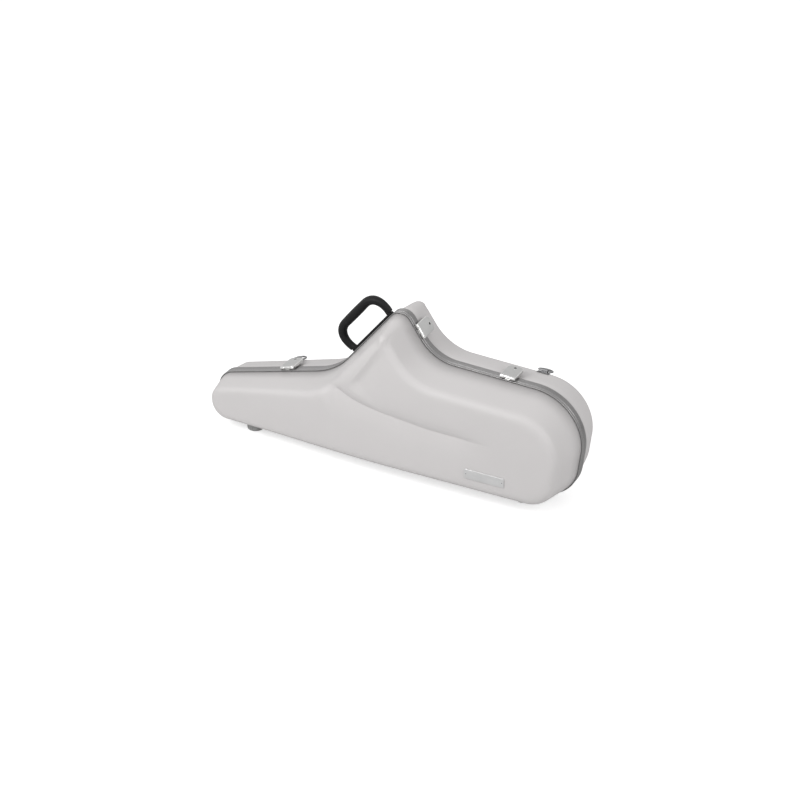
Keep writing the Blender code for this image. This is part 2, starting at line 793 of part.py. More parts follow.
def latch_lever():
    """Inverted tray with a rolled barrel at its front, a claw below and a keyhole near its tip."""
    half = LATCH_WIDTH / 2
    top = LATCH_BARREL
    skirt = SKIRT_CLEARANCE - LATCH_BARREL
    rear = LATCH_REACH - latch_pivot().y
    cover = rounded_outline(half, 0.0, rear, LATCH_CORNER)
    inner = rounded_outline(half - LATCH_FLANGE, -half, rear - LATCH_FLANGE, LATCH_CORNER - LATCH_FLANGE)
    body = slab_mesh("latch_lever", cover, skirt, top)
    steps = [("DIFFERENCE", slab_mesh("hollow", inner, skirt - half, top - LATCH_PLATE))]
    clear = LATCH_BARREL + LATCH_PLAY
    front = box_mesh("front", (-half * 2, -clear, -clear * 2), (half * 2, clear, top - LATCH_PLATE))
    steps.append(("DIFFERENCE", front))
    lug = LATCH_LUG_LENGTH / 2 + GAP
    steps.append(("UNION", rod_mesh("barrel", LATCH_BARREL, -half, half)))
    lug_top = LATCH_LUG_RADIUS + LATCH_PLAY
    lug_room = box_mesh("lug_room", (-lug, -clear, -clear), (lug, clear, lug_top))
    steps.append(("DIFFERENCE", lug_room))
    steps.append(("DIFFERENCE", rod_mesh("bore", LATCH_PIN + GAP, -half * 2, half * 2, PIN_SIDES)))
    claw_low = skirt + GAP
    claw = box_mesh("claw", (-CLAW_WIDTH / 2, CLAW_SWING, claw_low),
                    (CLAW_WIDTH / 2, CLAW_SWING + CLAW_THICKNESS, top - LATCH_PLATE / 2))
    steps.append(("UNION", claw))
    hole = slab_mesh("keyhole", circle_points(KEYHOLE_RADIUS, 0.0, rear - KEYHOLE_INSET, 10),
                     top - LATCH_PLATE * 2, top + LATCH_PLATE)
    steps.append(("DIFFERENCE", hole))
    mesh = combine(body, steps)
    smooth(mesh)
    return mesh


def circle_points(radius, x, y, sides):
    return [(x + radius * math.cos(math.tau * k / sides), y + radius * math.sin(math.tau * k / sides))
            for k in range(sides)]


def latch_bracket():
    """Lug that holds the lever's pin on the front rail."""
    lug = LATCH_LUG_LENGTH / 2
    foot_reach = -latch_pivot().y - GAP
    inner = lug - LATCH_PLAY
    stem = LATCH_LUG_RADIUS / 2
    foot = box_mesh("latch_bracket", (-inner, -LATCH_LUG_RADIUS, -LATCH_BARREL),
                    (inner, foot_reach, -LATCH_BARREL + LATCH_FOOT))
    web = box_mesh("web", (-inner, -stem, -LATCH_BARREL), (inner, stem, 0.0))
    mesh = combine(foot, [("UNION", web), ("UNION", rod_mesh("barrel", LATCH_LUG_RADIUS, -lug, lug)),
                          ("DIFFERENCE", rod_mesh("bore", LATCH_PIN + GAP, -lug * 2, lug * 2, PIN_SIDES))])
    smooth(mesh)
    return mesh


def latch_keeper():
    """Plate on the rear rail with the ridge that the claw drops behind."""
    pivot = latch_pivot()
    ridge_back = pivot.y + CLAW_SWING - LATCH_PLAY
    half = KEEPER_WIDTH / 2
    plate = box_mesh("latch_keeper", (-half, SKIRT_CLEARANCE, GAP), (half, ridge_back, GAP + KEEPER_PLATE))
    ridge = box_mesh("ridge", (-half, ridge_back - KEEPER_RIDGE, GAP),
                     (half, ridge_back, GAP + KEEPER_RISE))
    return combine(plate, [("UNION", ridge)])


def latches():
    pivot = latch_pivot()
    for name, (run, share) in LATCH_SHARES.items():
        frame = frame_at(*run_place(run, share))
        seat = joint_empty(f"latch_seat_{name}", frame)
        axis = joint_empty(f"latch_axis_{name}", frame @ Matrix.Translation(pivot))
        set_at(add_object(f"latch_keeper_{name}", latch_keeper(), latch_finish()), seat)
        set_at(add_object(f"latch_bracket_{name}", latch_bracket(), latch_finish()), axis)
        set_at(add_object(f"latch_lever_{name}", latch_lever(), latch_finish()), axis)
        pin = rod_mesh("latch_pin", LATCH_PIN, -LATCH_WIDTH / 2, LATCH_WIDTH / 2, PIN_SIDES)
        smooth(pin)
        set_at(add_object(f"latch_pin_{name}", pin, steel_finish()), axis)


# Handle
def loft(name, stations, sides=HANDLE_SIDES):
    """Solid through ellipses: each station is (centre, run direction, half rise, half width)."""
    points, faces = [], []
    for centre, run, half_rise, half_width in stations:
        out = Vector((-run[2], 0.0, run[0]))
        for k in range(sides):
            angle = math.tau * k / sides
            points.append(Vector(centre) + out * half_rise * math.cos(angle)
                          + Vector((0.0, half_width * math.sin(angle), 0.0)))
    for i in range(len(stations) - 1):
        for k in range(sides):
            m = (k + 1) % sides
            faces.append((i * sides + k, i * sides + m, (i + 1) * sides + m, (i + 1) * sides + k))
    last = (len(stations) - 1) * sides
    faces.append(tuple(reversed(range(sides))))
    faces.append(tuple(range(last, last + sides)))
    mesh = mesh_from_faces(name, points, faces)
    outward(mesh)
    smooth(mesh, 40.0)
    return mesh


def elbow(name, side):
    """Curved end piece from the base strip up into the grip."""
    foot_top = 2 * GAP + HANDLE_BASE_THICKNESS
    foot = Vector((side * (HANDLE_LENGTH / 2 - ELBOW_FOOT_INSET), 0.0, foot_top))
    head = Vector((side * (GRIP_LENGTH / 2 + GAP), 0.0, HANDLE_RISE - GRIP_HALF_RISE))
    pull_up = Vector((foot.x + side * ELBOW_LEAN, 0.0, mix(foot.z, head.z, ELBOW_RISE_SHARE)))
    pull_out = Vector((foot.x, 0.0, head.z))
    stations = []
    for k in range(ELBOW_PIECES + 1):
        t = k / ELBOW_PIECES
        s = 1 - t
        spot = foot * s ** 3 + pull_up * 3 * s * s * t + pull_out * 3 * s * t * t + head * t ** 3
        run = (pull_up - foot) * s * s + (pull_out - pull_up) * 2 * s * t + (head - pull_out) * t * t
        if k == 0:
            run = Vector((0.0, 0.0, 1.0))
        if k == ELBOW_PIECES:
            run = Vector((-side, 0.0, 0.0))
        stations.append((spot, run.normalized(), mix(ELBOW_FOOT_HALF_RUN, GRIP_HALF_RISE, smoothstep(t)),
                         mix(ELBOW_FOOT_HALF_WIDTH, GRIP_HALF_WIDTH, smoothstep(t))))
    return loft(name, stations)


def grip():
    """Straight moulded sleeve, slightly fuller in its middle."""
    height = HANDLE_RISE - GRIP_HALF_RISE
    stations = []
    for k in range(GRIP_PIECES + 1):
        share = k / GRIP_PIECES
        fuller = GRIP_SWELL * math.sin(math.pi * share)
        stations.append(((GRIP_LENGTH * (share - 0.5), 0.0, height), Vector((1.0, 0.0, 0.0)),
                         GRIP_HALF_RISE + fuller, GRIP_HALF_WIDTH + fuller))
    return loft("handle_grip", stations)


def handle():
    spot, normal = run_place("hump", HANDLE_SHARE)
    seat = joint_empty("handle_seat", frame_at(spot, normal, HANDLE_DEPTH_PLACE))
    half = HANDLE_BASE_WIDTH / 2
    ends = stadium(HANDLE_LENGTH / 2, half, STRIP_CORNER_SHARE)
    base = slab_mesh("handle_base", ends, GAP, GAP + HANDLE_BASE_THICKNESS)
    smooth(base)
    set_at(add_object("handle_base", base, black_finish()), seat)
    set_at(add_object("handle_elbow_lower", elbow("handle_elbow_lower", -1), black_finish()), seat)
    set_at(add_object("handle_elbow_upper", elbow("handle_elbow_upper", 1), black_finish()), seat)
    set_at(add_object("handle_grip", grip(), black_finish()), seat)


def stadium(half_run, half_width, corner_share, steps=4):
    """Outline with rounded corners."""
    corner = half_width * corner_share
    points = []
    for sx, sy, start in ((1, 1, 0), (-1, 1, 1), (-1, -1, 2), (1, -1, 3)):
        centre = (sx * (half_run - corner), sy * (half_width - corner))
        for k in range(steps + 1):
            angle = math.pi / 2 * (start + k / steps)
            points.append((centre[0] + corner * math.cos(angle), centre[1] + corner * math.sin(angle)))
    return points


# Strap fittings
def shell_surface(spot, normal, depth, rim):
    """Point and frame on the rear shell's outer surface, at a depth behind a place on the outline."""
    edge = spot - normal * SHELL_INSET
    inset, slope = rounded_inset(depth, edge[0], BASE, rim)
    inward = edge - normal * inset
    tilt = math.atan2(1.0, slope)
    along = Vector((normal[1], 0.0, -normal[0]))
    flat = Vector((normal[0], 0.0, normal[1]))
    z_axis = flat * math.cos(tilt) + Vector((0.0, math.sin(tilt), 0.0))
    y_axis = z_axis.cross(along)
    frame = Matrix((along, y_axis, z_axis)).transposed().to_4x4()
    frame.translation = Vector((inward[0], depth, inward[1]))
    return frame


def strap_ring():
    """Ring of wire: a straight bar through the bracket and a round bow behind it."""
    points = []
    for k in range(RING_STEPS + 1):
        angle = math.pi * k / RING_STEPS
        points.append((RING_HALF_RUN * math.cos(angle),
                       RING_DROP - RING_HALF_RUN + RING_HALF_RUN * math.sin(angle)))
    points += [(-RING_HALF_RUN, 0.0), (RING_HALF_RUN, 0.0)]
    curve = bpy.data.curves.new("strap_ring", "CURVE")
    curve.dimensions = "3D"
    curve.bevel_depth = RING_WIRE
    curve.bevel_resolution = 2
    line = curve.splines.new("POLY")
    line.points.add(len(points) - 1)
    for spot, (x, y) in zip(line.points, points):
        spot.co = (x, y, 0.0, 1.0)
    line.use_cyclic_u = True
    wire = bpy.data.objects.new("strap_ring_wire", curve)
    collection(CUTTERS).objects.link(wire)
    bpy.context.view_layer.update()
    graph = bpy.context.evaluated_depsgraph_get()
    mesh = bpy.data.meshes.new_from_object(wire.evaluated_get(graph))
    bpy.data.objects.remove(wire, do_unlink=True)
    smooth(mesh, 60.0)
    return mesh


def strap_bracket():
    """Plate on the shell with a barrel for the ring's bar."""
    lift = -STRAP_BARREL
    half = STRAP_PLATE_RUN / 2
    plate = box_mesh("strap_bracket", (-half, -STRAP_PLATE_REACH, lift),
                     (half, 0.0, lift + STRAP_PLATE_THICKNESS))
    run = STRAP_BARREL_RUN / 2
    web = box_mesh("web", (-run, -STRAP_BARREL, lift), (run, 0.0, 0.0))
    ring_room = RING_HALF_RUN - RING_WIRE - GAP
    steps = [("UNION", web), ("UNION", rod_mesh("barrel", STRAP_BARREL, -run, run))]
    steps.append(("DIFFERENCE", rod_mesh("bore", RING_WIRE + GAP, -ring_room, ring_room, PIN_SIDES)))
    mesh = combine(plate, steps)
    smooth(mesh)
    return mesh


def strap_fittings():
    rim = shell_rim(REAR_RAIL_WIDTH)
    for name, (run, share, depth_share) in STRAP_SHARES.items():
        spot, normal = run_place(run, share)
        frame = shell_surface(spot, normal, corner_and_depth(spot[0], BASE)[1] * depth_share, rim)
        lift = Matrix.Translation((0.0, STRAP_PLATE_REACH / 2, STRAP_BARREL + GAP))
        axis = joint_empty(f"strap_axis_{name}", frame @ lift)
        set_at(add_object(f"strap_bracket_{name}", strap_bracket(), steel_finish()), axis)
        set_at(add_object(f"strap_ring_{name}", strap_ring(), steel_finish()), axis)


# Feet and plate
def foot_depth_place(rail_width):
    return rail_width + FOOT_CLEARANCE + FOOT_RADIUS


def foot(name, share, side, rail_width):
    """Round rubber foot: a rounded lower edge, and a top cut to the shell above it."""
    x = CASE_LENGTH * (share - 0.5)
    y = side * foot_depth_place(rail_width)
    rim = shell_rim(rail_width)
    bottom, _ = run_place("neck_bottom", 0.5)
    levels = ((FOOT_RADIUS - FOOT_EDGE, 0.0), (FOOT_RADIUS - FOOT_EDGE / 4, FOOT_EDGE / 4),
              (FOOT_RADIUS, FOOT_EDGE), (FOOT_RADIUS, None))
    points = []
    for radius, height in levels:
        for k in range(FOOT_SIDES):
            angle = math.tau * k / FOOT_SIDES
            run, across = radius * math.sin(angle), radius * math.cos(angle)
            top = bottom[1] + SHELL_INSET + rounded_inset(abs(y + across), x + run, side, rim)[0] - GAP
            points.append((run, across, top if height is None else height))
    faces = [tuple(range(FOOT_SIDES))]
    high = (len(levels) - 1) * FOOT_SIDES
    for low in range(0, high, FOOT_SIDES):
        for k in range(FOOT_SIDES):
            m = (k + 1) % FOOT_SIDES
            faces.append((low + k, low + m, low + FOOT_SIDES + m, low + FOOT_SIDES + k))
    # The top is closed in strips of one height, which run along the case
    for k in range(FOOT_SIDES // 2):
        strip = (k, k + 1, FOOT_SIDES - k - 1, (FOOT_SIDES - k) % FOOT_SIDES)
        faces.append(tuple(high + i for i in dict.fromkeys(strip)))
    mesh = mesh_from_faces(name, points, faces)
    outward(mesh)
    smooth(mesh)
    made = add_object(name, mesh, rubber_finish())
    made.location = (x, y, 0.0)
    return made


def feet():
    for end, share in (("neck", NECK_FOOT_SHARE), ("bow", BOW_FOOT_SHARE)):
        foot(f"foot_front_{end}", share, LID, FRONT_RAIL_WIDTH)
        foot(f"foot_rear_{end}", share, BASE, REAR_RAIL_WIDTH)


def badge_plate():
    """Bare plate on the flat of the lid, low at the bow end."""
    centre = place(PLATE_PLACE_SHARE)
    edge = stadium(PLATE_LENGTH / 2, PLATE_HEIGHT / 2, PLATE_CORNER_SHARE)
    mesh = slab_mesh("badge_plate", edge, 0.0, PLATE_THICKNESS)
    rim = shell_rim(FRONT_RAIL_WIDTH)
    field = Field(LID, SHELL_INSET, rim, relief=lid_relief)
    flat = np.array([(v.co.x, v.co.y) for v in mesh.vertices]) + centre
    proud = field.depth(flat) + PLATE_SEAT
    for vert, spot, depth in zip(mesh.vertices, flat, proud):
        vert.co = Vector((spot[0] - centre[0], -depth - vert.co.z, spot[1] - centre[1]))
    made = add_object("badge_plate", mesh, plate_finish())
    made.location = (centre[0], 0.0, centre[1])
    return made


def build():
    clear_scene()
    front_lines = [curve_through(TUBE_CREASE_SHARES, CREASE_STEP),
                   curve_through(SLOPE_EDGE_SHARES, CREASE_STEP)]
    shell("front_shell", LID, FRONT_RAIL_WIDTH, lid_relief, front_lines)
    shell("rear_shell", BASE, REAR_RAIL_WIDTH)
    swept_ring("front_rail", rail_profile(LID, FRONT_RAIL_WIDTH, False), rail_finish())
    swept_ring("rear_rail", rail_profile(BASE, REAR_RAIL_WIDTH, True), rail_finish())
    swept_ring("seal", seal_profile(), seal_finish())
    lining("lid_lining", LID, FRONT_RAIL_WIDTH)
    lining("base_lining", BASE, REAR_RAIL_WIDTH)
    hinges()
    latches()
    handle()
    strap_fittings()
    feet()
    badge_plate()


build()
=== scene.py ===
"""Looks of the tenor saxophone case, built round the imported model.

The half shells, rails, linings and fittings repeat the solids' own forms from the same driving
dimensions, drawn finer. X runs toward the bow end, the lid is at -Y and Z is up, in metres.
"""
import math

import bmesh
import bpy
import numpy as np
from mathutils import Matrix, Vector
from mathutils.geometry import delaunay_2d_cdt


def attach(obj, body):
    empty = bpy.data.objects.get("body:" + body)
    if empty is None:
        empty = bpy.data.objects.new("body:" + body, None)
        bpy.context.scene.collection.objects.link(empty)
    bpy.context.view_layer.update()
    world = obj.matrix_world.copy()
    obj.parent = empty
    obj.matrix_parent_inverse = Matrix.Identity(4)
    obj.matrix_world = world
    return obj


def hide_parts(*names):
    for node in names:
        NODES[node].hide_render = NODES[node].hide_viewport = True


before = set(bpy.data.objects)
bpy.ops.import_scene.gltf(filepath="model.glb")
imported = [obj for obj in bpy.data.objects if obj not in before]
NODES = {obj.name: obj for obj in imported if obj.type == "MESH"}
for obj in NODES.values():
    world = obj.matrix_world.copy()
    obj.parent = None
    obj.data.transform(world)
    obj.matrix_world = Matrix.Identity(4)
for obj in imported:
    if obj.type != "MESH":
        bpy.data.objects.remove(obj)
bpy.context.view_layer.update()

# Driving dimensions, as in the solids
CASE_LENGTH = 0.944
CASE_RISE = 0.372
FOOT_HEIGHT = 0.014
LID = -1
BASE = 1
BOW_DEPTH = {LID: 0.108, BASE: 0.111}
NECK_DEPTH = {LID: 0.073, BASE: 0.079}
GAP = 0.0003
CORNER_SHARES = {"neck_bottom": (0.0, 0.0, 0.154), "bow_bottom": (0.984, 0.0, 0.242),
                 "bow_top": (1.015, 0.694, 0.3374), "saddle": (0.610, 0.741, 0.275),
                 "hump": (0.5245, 1.061, 0.0834), "throat": (0.341, 0.498, 0.4302),
                 "neck_top": (0.0, 0.273, 0.1345)}
CHORD_ERROR = 0.00005
STRAIGHT_STEP = 0.014

# Angles, in degrees, past which an edge is shaded sharp
METAL_SHARP = 35.0
RAIL_SHARP = 28.0
MOULDED_SHARP = 60.0
SOFT_SHARP = 70.0
PIPING_SHARP = 80.0

# Rails
FRONT_RAIL_WIDTH = 0.008
REAR_RAIL_WIDTH = 0.016
RAIL_WIDTHS = {LID: FRONT_RAIL_WIDTH, BASE: REAR_RAIL_WIDTH}
RAIL_LIP = 0.0018
RAIL_EDGE = 0.0007
RAIL_ROUND = 0.0011
RAIL_DEPTH = 0.0075
RAIL_SEAT_SHARE = 0.42
RAIL_GROOVE_HALF = 0.0009
RAIL_GROOVE_DEPTH = 0.0011
RAIL_GROOVES = {LID: (0.0036,), BASE: (0.0036, 0.0068, 0.0100, 0.0132)}
SEAL_WIDTH = 0.0024
SEAL_HEIGHT = 0.0018

# Moulded shells
SHELL_WALL = 0.0034
SHELL_INSET = RAIL_LIP + GAP
WALL_DRAFT = {LID: math.radians(11.0), BASE: math.radians(8.0)}
SHOULDER_NECK = 0.014
SHOULDER_BOW = {LID: 0.022, BASE: 0.036}
SWELL_END_SHARES = {LID: 0.56, BASE: 0.42}
WALL_RINGS = 2
CORNER_RING_SHARES = (0.02, 0.07, 0.13, 0.20, 0.28, 0.37, 0.47, 0.58, 0.69, 0.80)
PANEL_ROW_SHARES = (0.93, 1.06, 1.22)
RING_LIMIT_SHARE = 0.9
FIELD_HOLD = 0.030
FIELD_START = 0.018
FIELD_CELL = 0.003
FIELD_SMOOTHINGS = 11
PANEL_STEP = 0.0058
PLACES_AT_ONCE = 3000

# Creases of the lid
TUBE_CREASE_SHARES = ((0.340, 0.480), (0.366, 0.505), (0.3953, 0.5123), (0.4357, 0.4715),
                      (0.4881, 0.4437), (0.5392, 0.4262), (0.5958, 0.4109), (0.6424, 0.3988),
                      (0.7015, 0.3949), (0.7649, 0.3948), (0.8247, 0.4026))
SLOPE_CREASE_SHARES = ((0.425, 0.550), (0.438, 0.6085), (0.4781, 0.748), (0.525, 0.943), (0.5485, 1.020))
TUBE_CREASE_DEPTH = 0.0088
SLOPE_CREASE_DEPTH = 0.0080
CREASE_UPPER_REACH = 0.014
CREASE_LOWER_REACH = 0.032
SLOPE_CREASE_WIDTH = 0.020
SLOPE_CREASE_RUN_OUT = 0.050
SLOPE_RIDGE_HEIGHT = 0.0005
SLOPE_RIDGE_HALF = 0.003
CREASE_ROUND = 0.0012
TUBE_ROOT_GAIN = 0.7
TUBE_ROOT_SHARE = 0.10
TUBE_END_SHARES = (0.07, 0.25)
SLOPE_END_SHARES = (0.20, 0.42)
CREASE_STEP = 0.0028
CREASE_ROWS = (0.0, 0.0011, 0.0023, 0.0038, 0.0058, 0.0084, 0.0115)
RELIEF_BORDER = 0.018

# Least spacing in the plan meshes, and the distance at which places merge
CREASE_SPACING_SHARE = 0.8
ROW_SPACING_SHARE = 0.6
SEED_SPACING_SHARE = 0.7
RIM_SPACING_SHARE = 0.4
MERGE_DISTANCE = 1e-7


def mix(a, b, share):
    return a + (b - a) * share


def smoothstep(value):
    t = np.clip(value, 0.0, 1.0)
    return t * t * (3.0 - 2.0 * t)


def unit(vector):
    return vector / np.linalg.norm(vector)


def right_of(direction):
    return np.array([direction[1], -direction[0]])


def around(sides):
    return np.arange(sides) * math.tau / sides


def quarter_round(radius, steps):
    """Distances of a quarter circle's points from the two sides of its corner."""
    return [(radius * (1 - math.sin(a)), radius * (1 - math.cos(a)))
            for a in np.linspace(0.0, math.pi / 2, steps)]


def run_lengths(edge):
    """Length run at each point of a closed loop, and at the end of its last side."""
    sides = np.linalg.norm(np.roll(edge, -1, axis=0) - edge, axis=1)
    return np.concatenate([[0.0], np.cumsum(sides)])


def band_faces(bands, count, closed=False):
    """Quads between loops of count points each, the last loop joined to the first if closed."""
    faces = []
    for k in range(bands if closed else bands - 1):
        here, ahead = k * count, (k + 1) % bands * count
        for i in range(count):
            j = (i + 1) % count
            faces.append((here + i, here + j, ahead + j, ahead + i))
    return faces


def axes_of(x_axis, z_axis, spot):
    axes = Matrix((x_axis, z_axis.cross(x_axis), z_axis)).transposed().to_4x4()
    axes.translation = spot
    return axes


# Outline of the rails in the X-Z plane
def place(share):
    return np.array([share[0] * CASE_LENGTH - CASE_LENGTH / 2, FOOT_HEIGHT + share[1] * CASE_RISE])


def fillet(before, corner, after, radius):
    into = unit(corner - before)
    out = unit(after - corner)
    turn = math.atan2(into[0] * out[1] - into[1] * out[0], into @ out)
    reach = radius * math.tan(abs(turn) / 2)
    return corner - into * reach, corner + out * reach, turn, into


def outline():
    """Points, outward normals, room before an inward offset folds, and the straight runs."""
    shape = [(place(shares[:2]), shares[2] * CASE_RISE) for shares in CORNER_SHARES.values()]
    count = len(shape)
    bends = [fillet(shape[i - 1][0], shape[i][0], shape[(i + 1) % count][0], shape[i][1])
             for i in range(count)]
    points, normals, room, runs = [], [], [], {}
    for i, (start, end, turn, into) in enumerate(bends):
        radius = shape[i][1]
        centre = start - right_of(into) * math.copysign(radius, turn)
        step = 2 * math.acos(1 - CHORD_ERROR / radius)
        pieces = max(2, math.ceil(abs(turn) / step))
        for k in range(pieces + 1):
            angle = turn * k / pieces
            away = right_of(into)
            normal = np.array([away[0] * math.cos(angle) - away[1] * math.sin(angle),
                               away[0] * math.sin(angle) + away[1] * math.cos(angle)])
            points.append(centre + normal * math.copysign(radius, turn))
            normals.append(normal)
            room.append(radius if turn > 0 else CASE_LENGTH)
        following = bends[(i + 1) % count][0]
        length = np.linalg.norm(following - end)
        runs[list(CORNER_SHARES)[i]] = (end, following)
        parts = max(1, round(length / STRAIGHT_STEP))
        for k in range(1, parts):
            points.append(mix(end, following, k / parts))
            normals.append(right_of(unit(following - end)))
            room.append(CASE_LENGTH)
    return np.array(points), np.array(normals), np.array(room), runs


POINTS, NORMALS, ROOM, RUNS = outline()


def loop(inset):
    return POINTS - NORMALS * inset


def run_place(run, share):
    """Place and outward normal on a straight run, at a share of the case's length."""
    start, end = RUNS[run]
    part = ((share - 0.5) * CASE_LENGTH - start[0]) / (end[0] - start[0])
    return mix(start, end, part), right_of(unit(end - start))


def frame_at(spot, normal, depth=0.0):
    """Axes on the outline: x along it toward the bow, y toward the base, z outward."""
    x_axis = Vector((normal[1], 0.0, -normal[0]))
    z_axis = Vector((normal[0], 0.0, normal[1]))
    return axes_of(x_axis, z_axis, Vector((spot[0], depth, spot[1])))


def nearest(places, starts, along):
    """For each place: distance to the nearest segment, run along the segments, and which side."""
    found = [np.zeros((3, 0))]
    for first in range(0, len(places), PLACES_AT_ONCE):
        rel = places[first:first + PLACES_AT_ONCE, None, :] - starts
        share = np.clip((rel * along).sum(2) / (along ** 2).sum(1), 0.0, 1.0)
        dist = np.sqrt(((rel - share[..., None] * along) ** 2).sum(2))
        best = dist.argmin(1)
        rows = np.arange(len(best))
        cross = along[best, 0] * rel[rows, best, 1] - along[best, 1] * rel[rows, best, 0]
        found.append(np.stack([dist[rows, best], best + share[rows, best], np.sign(cross)]))
    return np.concatenate(found, axis=1)


def distance_inside(places, edge):
    """Distance from each place to the closed loop of edge points."""
    return nearest(places, edge, np.roll(edge, -1, axis=0) - edge)[0]


def is_inside(places, edge):
    ahead = np.roll(edge, -1, axis=0)
    inside = np.zeros(len(places), bool)
    for a, b in zip(edge, ahead):
        if a[1] == b[1]:
            continue
        crosses = (places[:, 1] < a[1]) != (places[:, 1] < b[1])
        at = a[0] + (places[:, 1] - a[1]) * (b[0] - a[0]) / (b[1] - a[1])
        inside ^= crosses & (places[:, 0] < at)
    return inside


# Form of a half: depth from the parting plane
def corner_and_depth(x, side):
    grown = smoothstep((x + CASE_LENGTH / 2) / CASE_LENGTH / SWELL_END_SHARES[side])
    return mix(SHOULDER_NECK, SHOULDER_BOW[side], grown), mix(NECK_DEPTH[side], BOW_DEPTH[side], grown)


def shell_rim(side):
    return RAIL_WIDTHS[side] * RAIL_SEAT_SHARE + GAP + SHELL_WALL * math.sin(max(WALL_DRAFT.values()))


def shoulder(x, side, rim, trim=0.0):
    """Insets where the drafted wall ends and where the panel starts, corner radius and full depth."""
    draft = WALL_DRAFT[side]
    corner, full = corner_and_depth(x, side)
    corner = corner - trim
    full = full - trim
    panel = (corner + (full - rim - corner) * math.sin(draft)) / math.cos(draft)
    return panel - corner * math.cos(draft), panel, corner, full


def rounded_rise(inside, x, side, rim, trim=0.0):
    """Drafted wall, then a round shoulder up to the panel."""
    wall_end, panel, corner, full = shoulder(x, side, rim, trim)
    wall = rim + inside / math.tan(WALL_DRAFT[side])
    short = np.clip(panel - inside, 0.0, corner)
    return np.where(inside < wall_end, wall, full - corner + np.sqrt(corner ** 2 - short ** 2))


def rounded_inset(depth, x, side, rim):
    """Distance in from the rim at which the outer surface reaches a depth."""
    draft = WALL_DRAFT[side]
    wall_end, panel, corner, full = shoulder(x, side, rim)
    high = np.clip(depth - full + corner, 0.0, corner)
    arc = panel - np.sqrt(corner ** 2 - high ** 2)
    return np.where(high < corner * math.sin(draft), (depth - rim) * math.tan(draft), arc)


def cubic_weights(t):
    return (-0.5 * t + t ** 2 - 0.5 * t ** 3, 1 - 2.5 * t ** 2 + 1.5 * t ** 3,
            0.5 * t + 2 * t ** 2 - 1.5 * t ** 3, -0.5 * t ** 2 + 0.5 * t ** 3)


class Field:
    """Depth of a half over the plane: exact near the rim, smoothed on the panel."""

    def __init__(self, side, inset, rim, trim=0.0, relief=None):
        self.side = side
        self.inset = inset
        self.edge = loop(inset)
        self.rim = rim
        self.trim = trim
        self.relief = relief
        self.low = self.edge.min(0) - 2 * FIELD_CELL
        size = np.ceil((self.edge.max(0) - self.low) / FIELD_CELL).astype(int) + 4
        places = np.indices(size).reshape(2, -1).T * FIELD_CELL + self.low
        inside = distance_inside(places, self.edge) * is_inside(places, self.edge)
        depth = rounded_rise(inside, places[:, 0], side, rim, trim).reshape(size)
        hold = smoothstep((inside.reshape(size) - FIELD_START) / FIELD_HOLD)
        for _ in range(FIELD_SMOOTHINGS):
            near = sum(np.roll(depth, step, axis) for axis in (0, 1) for step in (-1, 1)) / 4
            depth = mix(depth, near, hold)
        self.grid = depth

    def panel(self, places):
        cell = (places - self.low) / FIELD_CELL
        base = np.clip(np.floor(cell).astype(int), 1, np.array(self.grid.shape) - 3)
        weights_x = cubic_weights(cell[:, 0] - base[:, 0])
        weights_z = cubic_weights(cell[:, 1] - base[:, 1])
        value = np.zeros(len(places))
        for i in range(4):
            for j in range(4):
                value += weights_x[i] * weights_z[j] * self.grid[base[:, 0] + i - 1, base[:, 1] + j - 1]
        return value

    def depth(self, places):
        places = np.atleast_2d(places)
        inside = distance_inside(places, self.edge)
        exact = rounded_rise(inside, places[:, 0], self.side, self.rim, self.trim)
        value = mix(exact, self.panel(places), smoothstep((inside - FIELD_START) / FIELD_HOLD))
        if self.relief is not None:
            value = value - self.relief(places) * smoothstep(inside / RELIEF_BORDER)
        return value


def curve_through(shares, step):
    """Smooth open curve through places given as shares, sampled about every step."""
    knots = np.array([place(s) for s in shares])
    ends = np.vstack([2 * knots[0] - knots[1], knots, 2 * knots[-1] - knots[-2]])
    line = []
    for i in range(1, len(knots)):
        near = ends[i - 1:i + 3]
        pieces = max(1, round(np.linalg.norm(near[2] - near[1]) / step))
        line += [np.array(cubic_weights(t)) @ near for t in np.arange(pieces) / pieces]
    return np.array(line + [knots[-1]])


def side_and_share(places, line):
    """Signed distance to an open curve, positive on its left, and the share along it."""
    distance, run, side = nearest(places, line[:-1], line[1:] - line[:-1])
    return side * distance, run / (len(line) - 1)


TUBE_CREASE = curve_through(TUBE_CREASE_SHARES, CREASE_STEP)
SLOPE_CREASE = curve_through(SLOPE_CREASE_SHARES, CREASE_STEP)


def fade(share, ends):
    return smoothstep(share / ends[0]) * smoothstep((1 - share) / ends[1])


def tube_valley(places):
    """A round-bottomed valley along the body tube, deepest at its root."""
    side, share = side_and_share(places, TUBE_CREASE)
    reach = np.where(side > 0, CREASE_UPPER_REACH, CREASE_LOWER_REACH)
    off = np.sqrt(side ** 2 + CREASE_ROUND ** 2) - CREASE_ROUND
    deeper = 1 + TUBE_ROOT_GAIN * np.exp(-share / TUBE_ROOT_SHARE)
    return TUBE_CREASE_DEPTH * deeper * np.exp(-off / reach) * fade(share, TUBE_END_SHARES)


def slope_step(places):
    """A fine ridge up the hump, then a drop on its right that runs out softly."""
    side, share = side_and_share(places, SLOPE_CREASE)
    off = np.clip(-side, 0.0, None)
    ridge = SLOPE_RIDGE_HEIGHT * share * np.exp(-(side / SLOPE_RIDGE_HALF) ** 2)
    drop = SLOPE_CREASE_DEPTH * smoothstep(off / SLOPE_CREASE_WIDTH) * np.exp(-off / SLOPE_CREASE_RUN_OUT)
    return (drop - ridge) * fade(share, SLOPE_END_SHARES)


def lid_relief(places):
    """Depth lost in the two creases that set the bell off from the body tube."""
    return tube_valley(places) + slope_step(places)


